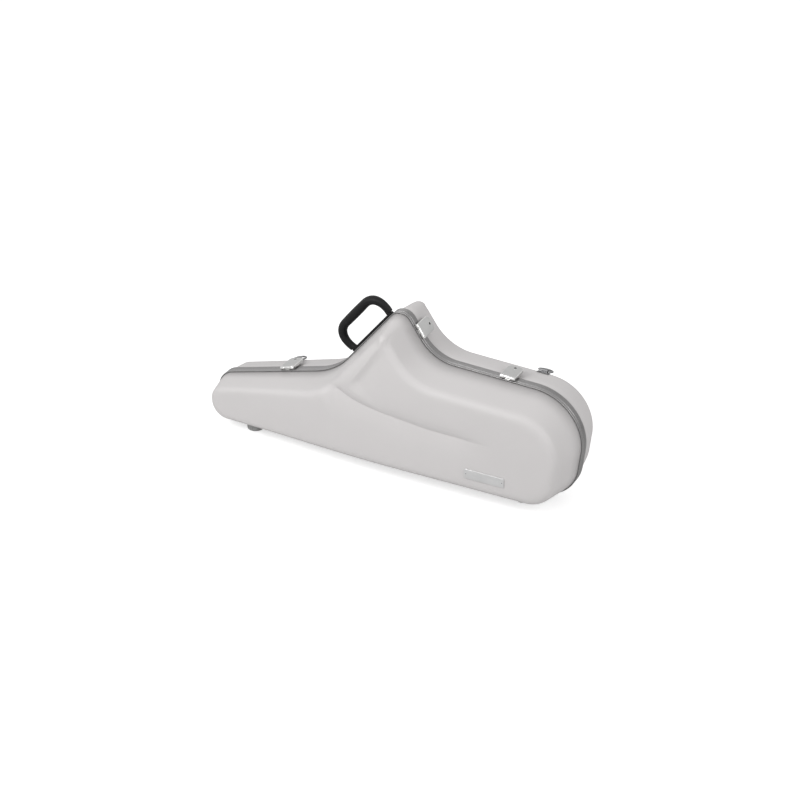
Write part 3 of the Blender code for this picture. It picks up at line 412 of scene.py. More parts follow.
def rings(field, insets):
    """Full rings inward from the rim, drawn closer where a corner is tight."""
    limit = RING_LIMIT_SHARE * (ROOM - field.inset)
    return [field.edge - NORMALS * (limit * (1 - np.exp(-inset / limit)))[:, None] for inset in insets]


def kept_apart(places, spacing, held=()):
    """Places at least spacing away from those kept before them, first come first kept."""
    cells = {}
    kept = []
    for number, spot in enumerate([*held, *places]):
        cell = (math.floor(spot[0] / spacing), math.floor(spot[1] / spacing))
        near = (other for i in (-1, 0, 1) for j in (-1, 0, 1)
                for other in cells.get((cell[0] + i, cell[1] + j), ()))
        fixed = number < len(held)
        if fixed or all(math.hypot(spot[0] - o[0], spot[1] - o[1]) >= spacing for o in near):
            cells.setdefault(cell, []).append(spot)
            if not fixed:
                kept.append(spot)
    return np.array(kept).reshape(-1, 2)


def plane_mesh(field, insets, step, rows=(), lines=()):
    """Triangulated plan of a half: rings at the rim, rows of points, then a field of them."""
    bands = rings(field, insets)
    count = len(POINTS)
    faces = band_faces(len(bands), count)
    inner = bands[-1]
    low, high = inner.min(0), inner.max(0)
    lift = step * math.sqrt(3) / 2
    seeds = np.array([(x, low[1] + row * lift) for row in range(int((high[1] - low[1]) / lift) + 1)
                      for x in np.arange(low[0] + step / 2 * (row % 2), high[0], step)])
    spots = []
    for line in lines:
        across = np.array([right_of(unit(way)) for way in np.gradient(line, axis=0)])
        for off in CREASE_ROWS:
            for sign in (1, -1) if off else (1,):
                spots.append(line + across * off * sign)
    none = np.zeros((0, 2))
    creased = kept_apart(np.vstack(spots), CREASE_ROWS[1] * CREASE_SPACING_SHARE) if spots else none
    bordered = kept_apart(np.vstack(rings(field, rows)), step * ROW_SPACING_SHARE, creased) if rows else none
    held = np.vstack([creased, bordered])
    places = np.vstack([held, kept_apart(seeds, step * SEED_SPACING_SHARE, held)])
    clear = is_inside(places, inner)
    clear[clear] = distance_inside(places[clear], inner) > step * RIM_SPACING_SHARE
    flat = np.vstack([inner, places[clear]])
    edges = [(i, (i + 1) % count) for i in range(count)]
    found = delaunay_2d_cdt([Vector(p) for p in flat], edges, [tuple(range(count))], 1, MERGE_DISTANCE)
    shift = (len(bands) - 1) * count
    faces += [tuple(shift + i for i in face) for face in found[2]]
    return np.vstack(bands[:-1] + [np.array([tuple(p) for p in found[0]])]), faces


def raise_plan(places, depth, side):
    return [(p[0], side * y, p[1]) for p, y in zip(places, depth)]


def facing(faces, side):
    return faces if side < 0 else [tuple(reversed(f)) for f in faces]


# Objects
def linked(name, data):
    made = bpy.data.objects.new(name, data)
    bpy.context.scene.collection.objects.link(made)
    return made


def mesh_object(name, points, faces, finish, sharp=METAL_SHARP):
    mesh = bpy.data.meshes.new(name)
    mesh.from_pydata([tuple(p) for p in points], [], faces)
    mesh.update()
    mesh.shade_smooth()
    mesh.set_sharp_from_angle(angle=math.radians(sharp))
    mesh.materials.append(finish)
    return linked(name, mesh)


def outward(made, sharp):
    """Face normals turned out, and the sharp edges marked again after it."""
    work = bmesh.new()
    work.from_mesh(made.data)
    bmesh.ops.recalc_face_normals(work, faces=work.faces)
    work.to_mesh(made.data)
    work.free()
    made.data.set_sharp_from_angle(angle=math.radians(sharp))
    return made


def settle(piece, body, slot, *nodes):
    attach(piece, body)
    if nodes:
        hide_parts(*nodes)


def lofted(name, loops, finish, closed=True, sharp=METAL_SHARP):
    """Solid through loops with the same number of points, its two ends closed by faces."""
    count = len(loops[0])
    points = [p for ring in loops for p in ring]
    faces = band_faces(len(loops), count)
    if closed:
        faces += [tuple(reversed(range(count))), tuple(range(len(points) - count, len(points)))]
    return outward(mesh_object(name, points, faces, finish, sharp), sharp)


def joined(pieces, name):
    """One mesh object from several, in world coordinates."""
    work = bmesh.new()
    for piece in pieces:
        part = piece.data.copy()
        part.transform(piece.matrix_world)
        work.from_mesh(part)
    mesh = bpy.data.meshes.new(name)
    work.to_mesh(mesh)
    work.free()
    for used in (m for p in pieces for m in p.data.materials):
        if used.name not in mesh.materials:
            mesh.materials.append(used)
    made = linked(name, mesh)
    for piece in pieces:
        bpy.data.objects.remove(piece, do_unlink=True)
    return made


# Materials
BRUSH_STRETCH = (3.0, 2600.0, 1.0)


class Nodes:
    """Short way to add and link shader nodes."""

    def __init__(self, name, colour, roughness, metallic=0.0):
        self.material = bpy.data.materials.new(name)
        self.material.use_nodes = True
        self.tree = self.material.node_tree
        self.shader = self.tree.nodes["Principled BSDF"]
        self.set(Base_Color=(*colour, 1.0), Roughness=roughness, Metallic=metallic)
        self.colour = colour
        self.roughness = roughness
        self.place = self.tree.nodes.new("ShaderNodeTexCoord").outputs["Object"]

    def link(self, source, target):
        self.tree.links.new(source, target)

    def stretched(self, scale, source=None):
        mapping = self.tree.nodes.new("ShaderNodeMapping")
        mapping.inputs["Scale"].default_value = scale
        self.link(source or self.place, mapping.inputs["Vector"])
        return mapping.outputs["Vector"]

    def noise(self, scale, detail=3.0, rough=0.5, vector=None):
        node = self.tree.nodes.new("ShaderNodeTexNoise")
        node.inputs["Scale"].default_value = scale
        node.inputs["Detail"].default_value = detail
        node.inputs["Roughness"].default_value = rough
        self.link(vector or self.place, node.inputs["Vector"])
        return node.outputs["Fac"]

    def cells(self, scale, feature="F1"):
        node = self.tree.nodes.new("ShaderNodeTexVoronoi")
        node.feature = feature
        node.inputs["Scale"].default_value = scale
        self.link(self.place, node.inputs["Vector"])
        return node.outputs["Distance"]

    def ranged(self, source, low, high, to_low, to_high):
        node = self.tree.nodes.new("ShaderNodeMapRange")
        for name, value in (("From Min", low), ("From Max", high), ("To Min", to_low), ("To Max", to_high)):
            node.inputs[name].default_value = value
        self.link(source, node.inputs["Value"])
        return node.outputs["Result"]

    def vary_colour(self, source, change):
        """Base colour that moves between two shades with the source."""
        ramp = self.tree.nodes.new("ShaderNodeMix")
        ramp.data_type = "RGBA"
        ramp.inputs["A"].default_value = (*[c * (1 - change) for c in self.colour], 1.0)
        ramp.inputs["B"].default_value = (*[min(c * (1 + change), 1.0) for c in self.colour], 1.0)
        self.link(self.ranged(source, 0.3, 0.7, 0.0, 1.0), ramp.inputs["Factor"])
        self.link(ramp.outputs["Result"], self.shader.inputs["Base Color"])

    def vary_roughness(self, source, change):
        value = self.ranged(source, 0.3, 0.7, self.roughness - change, self.roughness + change)
        self.link(value, self.shader.inputs["Roughness"])

    def bump(self, *heights):
        """Bumps in turn: pairs of a height source and a depth in metres."""
        normal = None
        for source, depth in heights:
            node = self.tree.nodes.new("ShaderNodeBump")
            node.inputs["Distance"].default_value = depth
            self.link(source, node.inputs["Height"])
            if normal is not None:
                self.link(normal, node.inputs["Normal"])
            normal = node.outputs["Normal"]
        self.link(normal, self.shader.inputs["Normal"])

    def set(self, **values):
        for name, value in values.items():
            self.shader.inputs[name.replace("_", " ")].default_value = value


def shell_finish():
    """Satin moulded shell: faint orange peel, slow clouding, fine scuffs in the gloss."""
    made = Nodes("shell_satin_white", (0.615, 0.597, 0.595), 0.52)
    made.vary_colour(made.noise(9.0, 4.0), 0.010)
    made.vary_roughness(made.noise(60.0, 4.0, 0.6), 0.05)
    made.bump((made.noise(700.0, 2.0), 0.00005), (made.noise(90.0, 2.0), 0.00006))
    made.set(Specular_IOR_Level=0.4)
    return made.material


def brushed_finish(name, colour, roughness):
    """Metal brushed along the rail: the UVs hold the run along it and the girth across it."""
    made = Nodes(name, colour, roughness, 1.0)
    spread = made.tree.nodes.new("ShaderNodeTexCoord").outputs["UV"]
    lines = made.noise(1.0, 5.0, 0.65, made.stretched(BRUSH_STRETCH, spread))
    made.vary_colour(lines, 0.10)
    made.vary_roughness(lines, 0.09)
    made.bump((lines, 0.00002), (made.noise(500.0, 3.0), 0.00001))
    return made.material


def plated_finish(name, colour, roughness):
    """Plated sheet metal: fine tumbling grain and a few light rubs."""
    made = Nodes(name, colour, roughness, 1.0)
    rubs = made.noise(70.0, 6.0, 0.7)
    made.vary_colour(made.noise(30.0, 3.0), 0.05)
    made.vary_roughness(rubs, 0.07)
    made.bump((made.noise(1400.0, 2.0), 0.00001), (rubs, 0.00003))
    return made.material


def black_finish():
    """Moulded black plastic with a fine leather grain."""
    made = Nodes("handle_black_grain", (0.0065, 0.0065, 0.007), 0.50)
    grain = made.cells(620.0, "DISTANCE_TO_EDGE")
    made.vary_colour(made.noise(40.0, 3.0), 0.12)
    made.vary_roughness(made.noise(120.0, 3.0), 0.07)
    made.bump((grain, 0.00018), (made.noise(1500.0, 2.0), 0.00004))
    made.set(Specular_IOR_Level=0.22)
    return made.material


def rubber_finish(name, colour, roughness):
    made = Nodes(name, colour, roughness)
    made.vary_colour(made.noise(80.0, 4.0), 0.10)
    made.vary_roughness(made.noise(200.0, 3.0), 0.06)
    made.bump((made.noise(900.0, 3.0), 0.00006), (made.cells(400.0), 0.00003))
    return made.material


def plush_finish():
    """Short-pile lining cloth: fibre speckle, brushed patches and a soft sheen."""
    made = Nodes("lining_plush", (0.030, 0.030, 0.033), 0.95)
    fibres = made.noise(1600.0, 3.0, 0.7)
    brushed = made.noise(26.0, 4.0, 0.6, made.stretched((1.0, 1.0, 2.2)))
    made.vary_colour(brushed, 0.30)
    made.bump((fibres, 0.0005), (brushed, 0.0006))
    made.set(Sheen_Weight=0.6, Sheen_Roughness=0.45, Sheen_Tint=(0.30, 0.30, 0.33, 1.0))
    return made.material


SHELL = shell_finish()
RAIL_FRONT = brushed_finish("rail_front_brushed", (0.32, 0.315, 0.315), 0.32)
RAIL_REAR = brushed_finish("rail_rear_brushed", (0.30, 0.295, 0.295), 0.32)
NICKEL = plated_finish("latch_nickel", (0.66, 0.66, 0.65), 0.26)
# Darker nickel for the upward faces of the latch covers: painted shade, for the duller light their tops catch
LATCH_TOP_PAINTED_SHADE = plated_finish("latch_top_painted_shade", (0.47, 0.47, 0.465), 0.36)
# Bead along the latch's front edge: a smoother polish, and a colour lighter than the nickel that is a painted
# highlight on the rolled lip
EDGE_POLISH_AND_HIGHLIGHT = plated_finish("latch_edge_polish_and_painted_highlight", (0.84, 0.84, 0.83), 0.20)
STEEL = plated_finish("dark_steel", (0.22, 0.22, 0.225), 0.34)
# Near-black disc in the lock's face: painted shade for the depth of the keyhole
KEYHOLE_PAINTED_SHADE = rubber_finish("keyhole_painted_shade", (0.010, 0.010, 0.010), 0.5)
BLACK = black_finish()
RUBBER = rubber_finish("foot_rubber", (0.36, 0.36, 0.36), 0.62)
SEAL = rubber_finish("seal_rubber_black", (0.018, 0.018, 0.018), 0.6)
PLUSH = plush_finish()
PLATE = plated_finish("plate_satin", (0.70, 0.70, 0.70), 0.36)


# Half shells
def half_shell(name, side, node, body, relief=None, lines=()):
    rim = shell_rim(side)
    field = Field(side, SHELL_INSET, rim, relief=relief)
    wall_end, panel = shoulder(field.edge[:, 0], side, rim)[:2]
    insets = [wall_end * k / WALL_RINGS for k in range(WALL_RINGS + 1)]
    insets += [mix(wall_end, panel, share) for share in CORNER_RING_SHARES]
    rows = [mix(wall_end, panel, share) for share in PANEL_ROW_SHARES]
    places, faces = plane_mesh(field, insets, PANEL_STEP, rows, lines)
    points = raise_plan(places, field.depth(places), side)
    made = mesh_object(name, points, facing(faces, side), SHELL, MOULDED_SHARP)
    wall = made.modifiers.new("wall", "SOLIDIFY")
    wall.thickness = SHELL_WALL
    wall.offset = -1.0
    settle(made, body, "satin_white", node)
    return field


lid_field = half_shell("lid_shell", LID, "front_shell", "lid", lid_relief, (TUBE_CREASE, SLOPE_CREASE))
half_shell("base_shell", BASE, "rear_shell", "base")


# Rails, swept with their length and girth as UVs for the brushing
def swept_ring(name, profile, finish):
    rows = [loop(inset) for inset, _ in profile]
    count, across = len(POINTS), len(profile)
    points = [(rows[k][i][0], profile[k][1], rows[k][i][1]) for i in range(count) for k in range(across)]
    made = mesh_object(name, points, band_faces(count, across, closed=True), finish, RAIL_SHARP)
    run, girth = run_lengths(POINTS), run_lengths(np.array(profile))
    spread = made.data.uv_layers.new(name="along_and_across").data
    for face in made.data.polygons:
        i, k = divmod(face.index, across)
        for corner, (di, dk) in zip(face.loop_indices, ((0, 0), (0, 1), (1, 1), (1, 0))):
            spread[corner].uv = (run[i + di], girth[k + dk])
    return outward(made, RAIL_SHARP)


def rail_profile(side):
    """Lip with fine grooves on its outer face, the seat and the meeting face, and the seal's groove."""
    width = RAIL_WIDTHS[side]
    near = GAP / 2
    seat = width * RAIL_SEAT_SHARE
    shape = [(inset, near + rise) for inset, rise in quarter_round(RAIL_ROUND, 5)]
    for centre in RAIL_GROOVES[side]:
        half = RAIL_GROOVE_HALF
        shape += [(0.0, centre - half), (RAIL_GROOVE_DEPTH, centre - half / 2),
                  (RAIL_GROOVE_DEPTH, centre + half / 2), (0.0, centre + half)]
    shape += [(inset, width - drop) for drop, inset in quarter_round(RAIL_EDGE, 5)]
    shape += [(RAIL_LIP, width), (RAIL_LIP, seat), (RAIL_DEPTH, seat), (RAIL_DEPTH, near)]
    if side == BASE:
        middle = mix(RAIL_LIP, RAIL_DEPTH, 0.5)
        half = SEAL_WIDTH / 2 + GAP
        deep = near + SEAL_HEIGHT + GAP
        shape += [(middle + half, near), (middle + half, deep), (middle - half, deep), (middle - half, near)]
    return [(inset, side * y) for inset, y in shape]


def seal_profile():
    middle = mix(RAIL_LIP, RAIL_DEPTH, 0.5)
    half = SEAL_WIDTH / 2
    low = GAP / 2
    arc = [(middle - half * math.cos(a), low + half * (1 - math.sin(a))) for a in np.linspace(0, math.pi, 9)]
    return [(middle - half, low + SEAL_HEIGHT), *arc, (middle + half, low + SEAL_HEIGHT)]


settle(swept_ring("lid_rail", rail_profile(LID), RAIL_FRONT), "lid", "brushed_aluminium", "front_rail")
settle(swept_ring("base_rail", rail_profile(BASE), RAIL_REAR), "base", "brushed_aluminium", "rear_rail")
settle(swept_ring("seal_bead", seal_profile(), SEAL), "base", "seal_rubber", "seal")

# Padded linings
LINING_CLEARANCE = 0.0046
LINING_TOP = 0.0030
LINING_WALL = 0.017
LINING_SLANT = 0.012
LINING_FLOOR = 0.014
LINING_ROUND = 0.006
LINING_RING_STEPS = (0.002, 0.005, 0.008)
LINING_STEP = 0.009
LINING_WAVE = 0.0012
LINING_WAVE_RATES = (61, 53, 23)
LINING_WAVE_RUN = 0.03
LINING_LEAST = 0.001
PIPING_RADIUS = 0.0022
PIPING_SIDES = 8


def padded_lining(name, side, node, body):
    """Tray of foam under plush: rounded rim, slanted inner wall and a soft, slightly uneven floor."""
    rim = LINING_TOP + GAP
    inset = SHELL_INSET + RAIL_DEPTH
    trim = SHELL_WALL + LINING_CLEARANCE
    field = Field(side, inset, RAIL_WIDTHS[side], trim)
    slope = LINING_WALL + LINING_SLANT
    insets = [0.0, LINING_RING_STEPS[0], LINING_ROUND, LINING_WALL - LINING_ROUND,
              LINING_WALL - LINING_ROUND / 3, LINING_WALL]
    insets += [*(LINING_WALL + further for further in LINING_RING_STEPS), slope]
    places, faces = plane_mesh(field, insets, LINING_STEP)
    inside = distance_inside(places, field.edge)
    outer = field.depth(places) - LINING_CLEARANCE
    floor = np.maximum(outer - LINING_FLOOR, rim)
    across, up, slow = LINING_WAVE_RATES
    wave = np.sin(places[:, 0] * across) * np.sin(places[:, 1] * up + 1.0) + np.sin(places[:, 0] * slow + 2.0)
    floor = floor - LINING_WAVE * (1 + wave / 2) * smoothstep((inside - slope) / LINING_WAVE_RUN)
    down = smoothstep((inside - LINING_WALL + LINING_ROUND / 3) / (LINING_SLANT + LINING_ROUND / 3))
    edge = LINING_ROUND * (1 - np.sqrt(1 - np.clip(1 - inside / LINING_ROUND, 0, 1) ** 2))
    inner = np.minimum(mix(rim + edge, floor, down), outer - LINING_LEAST)
    inner = np.maximum(inner, rim)
    count = len(places)
    last = len(POINTS) - 1
    points = raise_plan(places, outer, side) + raise_plan(places, inner, side)
    sides = [(i, i + count, i + 1 + count, i + 1) for i in range(last)] + [(last, last + count, count, 0)]
    under = [tuple(count + i for i in reversed(f)) for f in faces]
    made = mesh_object(name, points, facing(faces + under + sides, side), PLUSH, SOFT_SHARP)
    settle(made, body, "lining_cloth", node)
    seam = loop(inset + LINING_WALL - LINING_ROUND / 3)
    piping(f"{name}_piping", seam, side * (rim + PIPING_RADIUS / 4), body)


def piping(name, seam, depth, body):
    """Sewn cord of the same cloth along the lining's inner edge."""
    ahead = np.roll(seam, -1, axis=0) - np.roll(seam, 1, axis=0)
    points = []
    for spot, way in zip(seam, ahead):
        out = right_of(unit(way))
        for angle in around(PIPING_SIDES):
            flat = spot + out * PIPING_RADIUS * math.cos(angle)
            points.append((flat[0], depth + PIPING_RADIUS * math.sin(angle), flat[1]))
    faces = band_faces(len(seam), PIPING_SIDES, closed=True)
    made = outward(mesh_object(name, points, faces, PLUSH, PIPING_SHARP), PIPING_SHARP)
    settle(made, body, "lining_cloth")


padded_lining("lid_padding", LID, "lid_lining", "lid")
padded_lining("base_padding", BASE, "base_lining", "base")

# Latches
LATCH_WIDTH = 0.037
LATCH_REACH = 0.047
LATCH_BARREL = 0.0042
LATCH_PLATE = 0.0016
LATCH_FLANGE = 0.0014
LATCH_CORNER = 0.011
LATCH_FRONT_CORNER = 0.0016
LATCH_FRONT_SHARE = 0.25
LATCH_EDGE = 0.0015
LATCH_LUG_LENGTH = 0.013
LATCH_LIP = 0.0009
LIP_DEGREES = (50, 150)
LATCH_BEAD = 0.0013
BARREL_EDGE = 0.0006
ROD_BEVEL_SHARE = 0.3
SKIRT_EDGE = 0.0003
# Cover faces that face up at least this much take the darker top colour, a painted shade
TOP_FACING = 0.985
SKIRT_CLEARANCE = 4 * GAP
KEYHOLE_INSET = 0.0105
LOCK_RADIUS = 0.0042
LOCK_PLUG = 0.0033
LOCK_RISE = 0.0005
LOCK_EDGE = 0.0002
LOCK_BEVEL = 0.0005
CLAW_WIDTH = 0.012
CLAW_THICKNESS = 0.0016
CLAW_SWING = 0.0180
CLAW_CORNER = 0.0003
PLAN_LEAST_RADIUS = 0.0002
LATCH_SHARES = {"neck": ("throat", 0.203), "hump": ("saddle", 0.5684), "top": ("bow_top", 0.802)}
PIVOT = Vector((0.0, LATCH_BARREL - FRONT_RAIL_WIDTH + RAIL_EDGE, GAP + LATCH_BARREL))


def rounded_plan(x_half, y_low, y_high, inset, front_corner, rear_corner, steps=8):
    """Rounded rectangle in local x-y, with its own corner radius at each end."""
    points = []
    for quarter, (sx, y_side, corner) in enumerate(((1, y_high, rear_corner), (-1, y_high, rear_corner),
                                                    (-1, y_low, front_corner), (1, y_low, front_corner))):
        radius = max(corner - inset, PLAN_LEAST_RADIUS)
        inner = max(corner, inset)
        centre_x = sx * (x_half - inner)
        centre_y = y_side - inner if quarter < 2 else y_side + inner
        for k in range(steps + 1):
            angle = math.pi / 2 * (quarter + k / steps)
            points.append((centre_x + radius * math.cos(angle), centre_y + radius * math.sin(angle)))
    return points


def turned(name, profile, centre, finish, sides=28):
    """Solid of revolution about local z: profile is (radius, z)."""
    loops = [[(centre[0] + r * math.cos(a), centre[1] + r * math.sin(a), z) for a in around(sides)]
             for r, z in profile]
    return lofted(name, loops, finish)


def rod_loops(x_low, x_high, radius, edge, sides=24):
    """Loops of a rod along local x with rounded ends."""
    bevel = edge * ROD_BEVEL_SHARE
    ends = [(0.0, radius - edge), (bevel, radius - bevel), (edge, radius)]
    spans = [(x_low + run, r) for run, r in ends] + [(x_high - run, r) for run, r in reversed(ends)]
    return [[(x, r * math.cos(a), r * math.sin(a)) for a in around(sides)] for x, r in spans]


def latch_lever(name, axis):
    """Rounded cover with rolled edges, a barrel at its front, a claw below and a lock."""
    half = LATCH_WIDTH / 2
    top = LATCH_BARREL
    skirt = SKIRT_CLEARANCE - LATCH_BARREL
    rear = LATCH_REACH - PIVOT.y
    levels = [(inset, top - drop) for inset, drop in quarter_round(LATCH_EDGE, 7)]
    levels += [(0.0, skirt + SKIRT_EDGE), (SKIRT_EDGE, skirt), (LATCH_FLANGE - SKIRT_EDGE, skirt),
               (LATCH_FLANGE, skirt + SKIRT_EDGE), (LATCH_FLANGE, top - LATCH_PLATE)]
    front = -LATCH_BARREL * LATCH_FRONT_SHARE
    loops = [[(x, y, z) for x, y in rounded_plan(half, front, rear, inset, LATCH_FRONT_CORNER, LATCH_CORNER)]
             for inset, z in levels]
    cover = lofted("cover", loops, NICKEL)
    lug = LATCH_LUG_LENGTH / 2 + GAP
    parts = [cover] + [lofted("barrel", rod_loops(low, high, LATCH_BARREL, BARREL_EDGE), NICKEL)
                       for low, high in ((-half, -lug), (lug, half))]
    arc = np.radians(np.linspace(*LIP_DEGREES, 12))
    section = [(r * math.cos(a), r * math.sin(a))
               for r, way in ((LATCH_BARREL, arc), (LATCH_BARREL - LATCH_LIP, arc[::-1])) for a in way]
    lip = [[(x, y, z) for y, z in section] for x in (-lug - GAP, lug + GAP)]
    parts.append(lofted("lip", lip, NICKEL))
    # Bead along the front edge, lighter than the nickel: a painted highlight on the rolled lip, with a
    # smoother polish
    bead = rod_loops(-half + LATCH_BEAD, half - LATCH_BEAD, LATCH_BEAD, LATCH_BEAD / 2, 16)
    bead = [[(x, y + front, z + top - LATCH_BEAD / 2) for x, y, z in ring] for ring in bead]
    parts.append(lofted("bead", bead, EDGE_POLISH_AND_HIGHLIGHT))
    claw_plan = rounded_plan(CLAW_WIDTH / 2, CLAW_SWING, CLAW_SWING + CLAW_THICKNESS, 0.0,
                             CLAW_CORNER, CLAW_CORNER, 2)
    parts.append(lofted("claw", [[(x, y, z) for x, y in claw_plan]
                                 for z in (skirt + GAP, top - LATCH_PLATE / 2)], NICKEL))
    lock = (0.0, rear - KEYHOLE_INSET)
    collar = [(LOCK_PLUG, top - LOCK_EDGE), (LOCK_PLUG, top + LOCK_RISE * 0.7),
              (LOCK_PLUG + LOCK_EDGE, top + LOCK_RISE), (LOCK_RADIUS - LOCK_BEVEL, top + LOCK_RISE),
              (LOCK_RADIUS, top + LOCK_RISE * 0.5), (LOCK_RADIUS, top - LOCK_EDGE)]
    parts.append(turned("collar", collar, lock, NICKEL))
    # The upward faces of the cover take the darker colour: painted shade on the latch top
    cover.data.materials.append(LATCH_TOP_PAINTED_SHADE)
    for face in cover.data.polygons:
        face.material_index = int(face.normal.z > TOP_FACING and face.center.z > 0)
    for part in parts:
        part.matrix_world = axis
    bpy.context.view_layer.update()
    lever = joined(parts, name)
    lever.data.set_sharp_from_angle(angle=math.radians(METAL_SHARP))
    # Near-black plug inside the collar: painted shade standing in for the keyhole's depth
    narrow = LOCK_PLUG - LOCK_EDGE / 2
    plug = [(narrow, top), (narrow, top + LOCK_EDGE), (LOCK_PLUG * 0.8, top + LOCK_EDGE * 1.25),
            (LOCK_PLUG * 0.5, top + LOCK_EDGE / 2)]
    plug = turned(f"{name}_lock", plug, lock, KEYHOLE_PAINTED_SHADE)
    plug.data.transform(axis)
    return lever, plug


for latch, (run, share) in LATCH_SHARES.items():
    pivot_axes = frame_at(*run_place(run, share)) @ Matrix.Translation(PIVOT)
    lever, plug = latch_lever(f"latch_cover_{latch}", pivot_axes)
    settle(lever, f"latch_{latch}", "nickel", f"latch_lever_{latch}")
    settle(plug, f"latch_{latch}", "nickel")

# Handle
HANDLE_SHARE = 0.4408
HANDLE_LENGTH = 0.156
HANDLE_RISE = 0.0712
HANDLE_DEPTH_PLACE = 0.0075
HANDLE_BASE_WIDTH = 0.016
HANDLE_BASE_THICKNESS = 0.0058
GRIP_LENGTH = 0.076
GRIP_HALF_RISE = 0.0106
GRIP_HALF_WIDTH = 0.0130
GRIP_SWELL = 0.0006
GRIP_PIECES = 24
ELBOW_FOOT_HALF_RUN = 0.0099
ELBOW_FOOT_HALF_WIDTH = 0.0078
ELBOW_FOOT_INSET = 0.0056
ELBOW_LEAN = 0.007
ELBOW_RISE_SHARE = 0.44
ELBOW_TURN_SHARE = 0.2
ELBOW_PIECES = 26
HANDLE_SIDES = 36
STRIP_CORNER_SHARE = 0.6
STRIP_EDGE = 0.0016
STRIP_FOOT_EDGE = 0.0002
HANDLE_AXES = frame_at(*run_place("hump", HANDLE_SHARE), HANDLE_DEPTH_PLACE)


def ellipse(centre, run, half_rise, half_width):
    out = Vector((-run[2], 0.0, run[0]))
    return [Vector(centre) + out * half_rise * math.cos(a) + Vector((0.0, half_width * math.sin(a), 0.0))
            for a in around(HANDLE_SIDES)]


def elbow(name, side):
    """Curved end piece from the base strip up into the grip."""
    foot_top = 2 * GAP + HANDLE_BASE_THICKNESS
    foot = Vector((side * (HANDLE_LENGTH / 2 - ELBOW_FOOT_INSET), 0.0, foot_top))
    head = Vector((side * (GRIP_LENGTH / 2 + GAP), 0.0, HANDLE_RISE - GRIP_HALF_RISE))
    pull_up = Vector((foot.x + side * ELBOW_LEAN, 0.0, mix(foot.z, head.z, ELBOW_RISE_SHARE)))
    pull_out = Vector((foot.x, 0.0, head.z))
    loops = []
    for t in np.linspace(0.0, 1.0, ELBOW_PIECES + 1):
        s = 1 - t
        spot = foot * s ** 3 + pull_up * 3 * s * s * t + pull_out * 3 * s * t * t + head * t ** 3
        run = (pull_up - foot) * s * s + (pull_out - pull_up) * 2 * s * t + (head - pull_out) * t * t
        way = Vector((0.0, 0.0, 1.0)).lerp(run.normalized(), min(t / ELBOW_TURN_SHARE, 1.0))
        loops.append(ellipse(spot, way.normalized(), mix(ELBOW_FOOT_HALF_RUN, GRIP_HALF_RISE, smoothstep(t)),
                             mix(ELBOW_FOOT_HALF_WIDTH, GRIP_HALF_WIDTH, smoothstep(t))))
    return lofted(name, loops, BLACK, sharp=MOULDED_SHARP)


def grip():
    height = HANDLE_RISE - GRIP_HALF_RISE
    loops = []
    for share in np.linspace(0.0, 1.0, GRIP_PIECES + 1):
        fuller = GRIP_SWELL * math.sin(math.pi * share)
        loops.append(ellipse((GRIP_LENGTH * (share - 0.5), 0.0, height), (1.0, 0.0, 0.0),
                             GRIP_HALF_RISE + fuller, GRIP_HALF_WIDTH + fuller))
    return lofted("handle_sleeve", loops, BLACK, sharp=MOULDED_SHARP)


def base_strip():
    half = HANDLE_BASE_WIDTH / 2
    corner = half * STRIP_CORNER_SHARE
    high = GAP + HANDLE_BASE_THICKNESS
    levels = [(STRIP_FOOT_EDGE, GAP), (0.0, GAP + STRIP_FOOT_EDGE)]
    levels += [(inset, high - drop) for drop, inset in quarter_round(STRIP_EDGE, 6)]
    loops = [[(x, y, z) for x, y in rounded_plan(HANDLE_LENGTH / 2, -half, half, inset, corner, corner)]
             for inset, z in levels]
    return lofted("handle_strip", loops, BLACK)


for piece, node in ((elbow("handle_lower_bend", -1), "handle_elbow_lower"),
                    (elbow("handle_upper_bend", 1), "handle_elbow_upper"),
                    (grip(), "handle_grip"), (base_strip(), "handle_base")):
    piece.data.transform(HANDLE_AXES)
    settle(piece, "base", "black_grip", node)

# Strap rings
STRAP_PLATE_REACH = 0.015
STRAP_BARREL = 0.0044
RING_WIRE = 0.0021
RING_HALF_RUN = 0.016
RING_DROP = 0.021
RING_CORNER = 0.0034
RING_SIDES = 16
RING_PIECES = 24
RING_CORNER_PIECES = 5
TILT_STEP = 1e-5
STRAP_SHARES = {"neck": ("throat", 0.188, 0.66), "bow": ("bow_top", 0.853, 0.79)}


def strap_axes(run, share, depth_share):
    spot, normal = run_place(run, share)
    edge = spot - normal * SHELL_INSET
    rim = shell_rim(BASE)
    depth = corner_and_depth(spot[0], BASE)[1] * depth_share
    inset = float(rounded_inset(depth, edge[0], BASE, rim))
    ahead = float(rounded_inset(depth + TILT_STEP, edge[0], BASE, rim))
    tilt = math.atan2(ahead - inset, TILT_STEP)
    along = Vector((normal[1], 0.0, -normal[0]))
    flat = Vector((normal[0], 0.0, normal[1]))
    z_axis = flat * math.cos(tilt) + Vector((0.0, math.sin(tilt), 0.0))
    inward = edge - normal * inset
    axes = axes_of(along, z_axis, Vector((inward[0], depth, inward[1])))
    return axes @ Matrix.Translation((0.0, STRAP_PLATE_REACH / 2, STRAP_BARREL + GAP))


